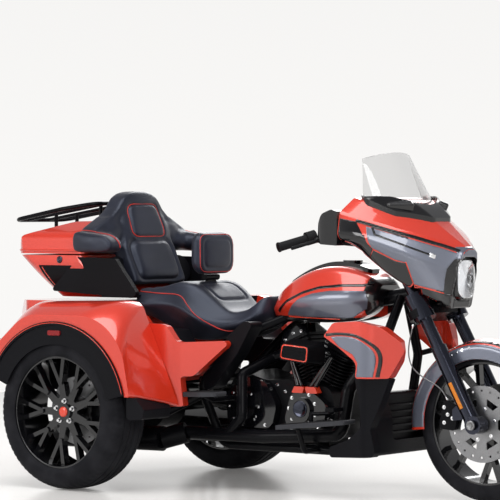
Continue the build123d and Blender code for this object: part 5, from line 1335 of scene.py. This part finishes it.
def latch():
    """Lock barrel in a plate on each side of the luggage box."""
    box = skin_of("luggage_box")
    for hand, side in SIDES:
        face, out = box.from_side(LATCH[0] * MM, LATCH[1] * MM, hand)
        turned(f"lock_{side}", LOCK_PLATE, face, out, black_chrome, CHASSIS, sides=24)


def board_ribs():
    """Raised rubber ribs along the four footboards."""
    boards = skin_of("footboards")
    for name, x_low, x_high, y_low, y_high in BOARDS:
        for hand, side in SIDES:
            verts, faces = [], []
            for rib in range(BOARD_RIBS):
                y = hand * (y_low + (y_high - y_low) * rib / (BOARD_RIBS - 1))
                ends = [boards.from_above(x * MM, y * MM) for x in (x_low, x_high)]
                if not all(ends):
                    continue
                start = len(verts)
                for place, _ in ends:
                    for across, rise in RIB_SECTION:
                        verts.append((place.x, place.y + across * MM, place.z + rise * MM))
                for face in ring_faces(len(ends), len(RIB_SECTION)):
                    faces.append(tuple(start + corner for corner in face))
            piece(f"{name}_board_ribs_{side}", verts, faces, rubber, CHASSIS)


# Lip of the lid: middle of its sweep, where its ends stop, its radius, and the sweep in degrees
LIP_MIDDLE = (-950, 0, 971)
LIP_END_X = -840
LIP_RADIUS, LIP_SIDES = 5, 12
LIP_START, LIP_SWEEP, LIP_STEPS = -60, 240, 72


def lid_lip():
    """Moulded lip round the lower edge of the luggage lid, behind the backrest's arms."""
    lid = skin_of("luggage_lid")
    middle = Vector(LIP_MIDDLE) * MM
    path = []
    for step in range(LIP_STEPS + 1):
        angle = math.radians(LIP_START - LIP_SWEEP * step / LIP_STEPS)
        out = Vector((math.cos(angle), math.sin(angle), 0))
        hit = lid.meet(middle + out, -out)
        if hit and hit[0].x < LIP_END_X * MM:
            path.append(hit[0])
    tube("lid_lip", path, LIP_RADIUS * MM, paint, LID, sides=LIP_SIDES)


# Cockpit in (y, z): display, dials with their rings and ticks, speakers and mirror glass
DISPLAY = rounded([(-136, 1056), (136, 1056), (136, 1158), (-136, 1158)], 16)
DIAL = (84, 1107)
DIAL_RING = [(-1, 45), (3, 45), (4.5, 43), (3, 40.5), (0.5, 40)]
DIAL_TICKS, TICK_CIRCLE, TICK, TICK_SIDES = 24, 35, (1.6, 1.6), 4
SPEAKER = (238, 1090)
SPEAKER_TRIM = [(-1, 48), (3, 48), (5, 45.5), (3.5, 42), (0.5, 41)]
# Rings of studs in a speaker's grille: radius and count
SPEAKER_RINGS = [(9, 6), (18, 12), (27, 18), (35, 24)]
SPEAKER_STUD = (2.2, 1.6)
MIRROR_GLASS = rounded([(342, 1034), (374, 1034), (374, 1114), (342, 1122)], 12)


def cockpit():
    """What the rider sees: display glass with two dials, speaker trims and mirror glass."""
    dash, mirrors = skin_of("dash_units"), skin_of("mirrors")

    def from_seat(y, z):
        """The dash met from behind."""
        return dash.from_front(y, z, way=-1)

    def mirror_from_seat(y, z):
        """A mirror met from behind."""
        return mirrors.from_front(y, z, way=-1)

    film("dash_display", from_seat, DISPLAY, display_glass, STEERING)
    for hand, side in SIDES:
        dial, speaker = (hand * DIAL[0], DIAL[1]), (hand * SPEAKER[0], SPEAKER[1])
        face, _ = from_seat(dial[0] * MM, dial[1] * MM)
        turned(f"dial_ring_{side}", DIAL_RING, face, BACKWARD, chrome, STEERING)
        ticks = [from_seat(*spot) for spot in on_circle(dial, TICK_CIRCLE, DIAL_TICKS)]
        screws(f"dial_ticks_{side}", ticks, TICK, reflector, STEERING, TICK_SIDES)
        face, _ = from_seat(speaker[0] * MM, speaker[1] * MM)
        turned(f"speaker_trim_{side}", SPEAKER_TRIM, face, BACKWARD, black_chrome, STEERING)
        studs = []
        for radius, count in SPEAKER_RINGS:
            studs += [from_seat(*spot) for spot in on_circle(speaker, radius, count)]
        screws(f"speaker_grille_{side}", studs, SPEAKER_STUD, black_chrome, STEERING)
        glass = [(hand * y, z) for y, z in MIRROR_GLASS]
        film(f"mirror_glass_{side}", mirror_from_seat, glass, chrome, STEERING)


latch()
lid_lip()
cockpit()
board_ribs()


# Stage: floor, studio walls, lights and camera

FLOOR_RADIUS, FLOOR_SEGMENTS = 6.2, 128
FLOOR_TONE, FLOOR_ROUGHNESS = (0.80, 0.785, 0.76, 1), 0.28
FLOOR_MOTTLE, FLOOR_SMOOTH, FLOOR_DULL = 90.0, 0.19, 0.22
FLOOR_GLOW, FLOOR_GLOW_TONE = 0.10, (1.0, 0.98, 0.96, 1)
WORLD_TONE, WORLD_STRENGTH = (0.96, 0.97, 1.0, 1), 0.35
# What the eye, metal and glass see of the studio: (sine of the height above the horizon, colour)
STUDIO_WALLS = [(0.0, (0.95, 0.94, 0.925, 1)), (0.22, (0.86, 0.855, 0.85, 1)), (0.55, (0.30, 0.30, 0.31, 1))]
# Soft lamps: name, place, target, size and power
SOFT_LAMPS = [
    ("overhead_light", (0.5, -1.5, 4.6), (0, 0, 0.6), (5.0, 3.0), 210),
    ("front_light", (5.0, -4.5, 2.6), (0.4, 0, 0.7), (2.0, 2.6), 110),
    ("side_light", (-2.5, -5.5, 2.4), (-0.5, 0, 0.6), (3.0, 2.0), 110),
    ("back_light", (-2.0, 4.0, 3.4), (0, 0, 0.9), (3.0, 2.0), 110),
]


def seen_rays(nodes, links):
    """1 where the eye sees a surface straight, in metal or through glass, else 0."""
    path = nodes.new("ShaderNodeLightPath")
    seen = path.outputs["Is Camera Ray"]
    for kind in ("Is Glossy Ray", "Is Transmission Ray"):
        either = math_node(nodes, "MAXIMUM")
        links.new(seen, either.inputs[0])
        links.new(path.outputs[kind], either.inputs[1])
        seen = either.outputs[0]
    return seen


def studio_floor():
    """Pale polished floor under the vehicle."""
    mesh = bpy.data.meshes.new("studio_floor")
    disc = {"cap_ends": True, "radius": FLOOR_RADIUS, "segments": FLOOR_SEGMENTS}
    rework(mesh, lambda bm: bmesh.ops.create_circle(bm, **disc))
    thing = new_object("studio_floor", mesh)
    finish = Finish("pale_studio_floor", FLOOR_TONE, FLOOR_ROUGHNESS)
    mottle = finish.texture(NOISE, FLOOR_MOTTLE, Detail=2.0)
    finish.rough(mottle.outputs["Fac"], FLOOR_SMOOTH, FLOOR_DULL)
    glow = math_node(finish.nodes, "MULTIPLY", FLOOR_GLOW)
    finish.links.new(seen_rays(finish.nodes, finish.links), glow.inputs[0])
    finish.set(Emission_Color=FLOOR_GLOW_TONE)
    finish.links.new(glow.outputs[0], finish.shader.inputs["Emission Strength"])
    mesh.materials.append(finish.material)


def studio_world():
    """Even light from all round, and pale walls that dim towards the ceiling where they are seen."""
    world = bpy.data.worlds.new("studio_world")
    world.use_nodes = True
    nodes, links = world.node_tree.nodes, world.node_tree.links
    light = nodes["Background"]
    light.inputs["Color"].default_value = WORLD_TONE
    light.inputs["Strength"].default_value = WORLD_STRENGTH
    height = nodes.new("ShaderNodeSeparateXYZ")
    links.new(nodes.new("ShaderNodeTexCoord").outputs["Generated"], height.inputs[0])
    walls = nodes.new("ShaderNodeValToRGB")
    set_stops(walls.color_ramp, STUDIO_WALLS)
    links.new(height.outputs["Z"], walls.inputs["Fac"])
    view = nodes.new("ShaderNodeBackground")
    links.new(walls.outputs["Color"], view.inputs["Color"])
    pick = nodes.new("ShaderNodeMixShader")
    links.new(seen_rays(nodes, links), pick.inputs[0])
    links.new(light.outputs[0], pick.inputs[1])
    links.new(view.outputs[0], pick.inputs[2])
    links.new(pick.outputs[0], nodes["World Output"].inputs["Surface"])
    bpy.context.scene.world = world


def soft_light(name, place, target, size, power):
    """Large soft lamp that faces a point."""
    data = bpy.data.lights.new(name, "AREA")
    data.shape = "RECTANGLE"
    data.size, data.size_y = size
    data.energy = power
    lamp = new_object(name, data)
    lamp.location = place
    lamp.rotation_euler = (Vector(target) - Vector(place)).to_track_quat("-Z", "Y").to_euler()
    lamp.visible_camera = False


def studio():
    """Soft lamps and the camera."""
    scene = bpy.context.scene
    for row in SOFT_LAMPS:
        soft_light(*row)
    camera = bpy.data.cameras.new("camera")
    camera.lens = CAMERA_LENS
    camera.sensor_width = CAMERA_SENSOR
    camera.clip_end = CAMERA_REACH
    eye = new_object("camera", camera)
    heading, dip = math.radians(CAMERA_HEADING), math.radians(CAMERA_DIP)
    level = math.cos(dip)
    look = Vector((-math.sin(heading) * level, math.cos(heading) * level, -math.sin(dip)))
    eye.location = CAMERA_PLACE
    eye.rotation_euler = look.to_track_quat("-Z", "Y").to_euler()
    scene.camera = eye
    scene.view_settings.view_transform = "Standard"


studio_floor()
studio_world()
studio()
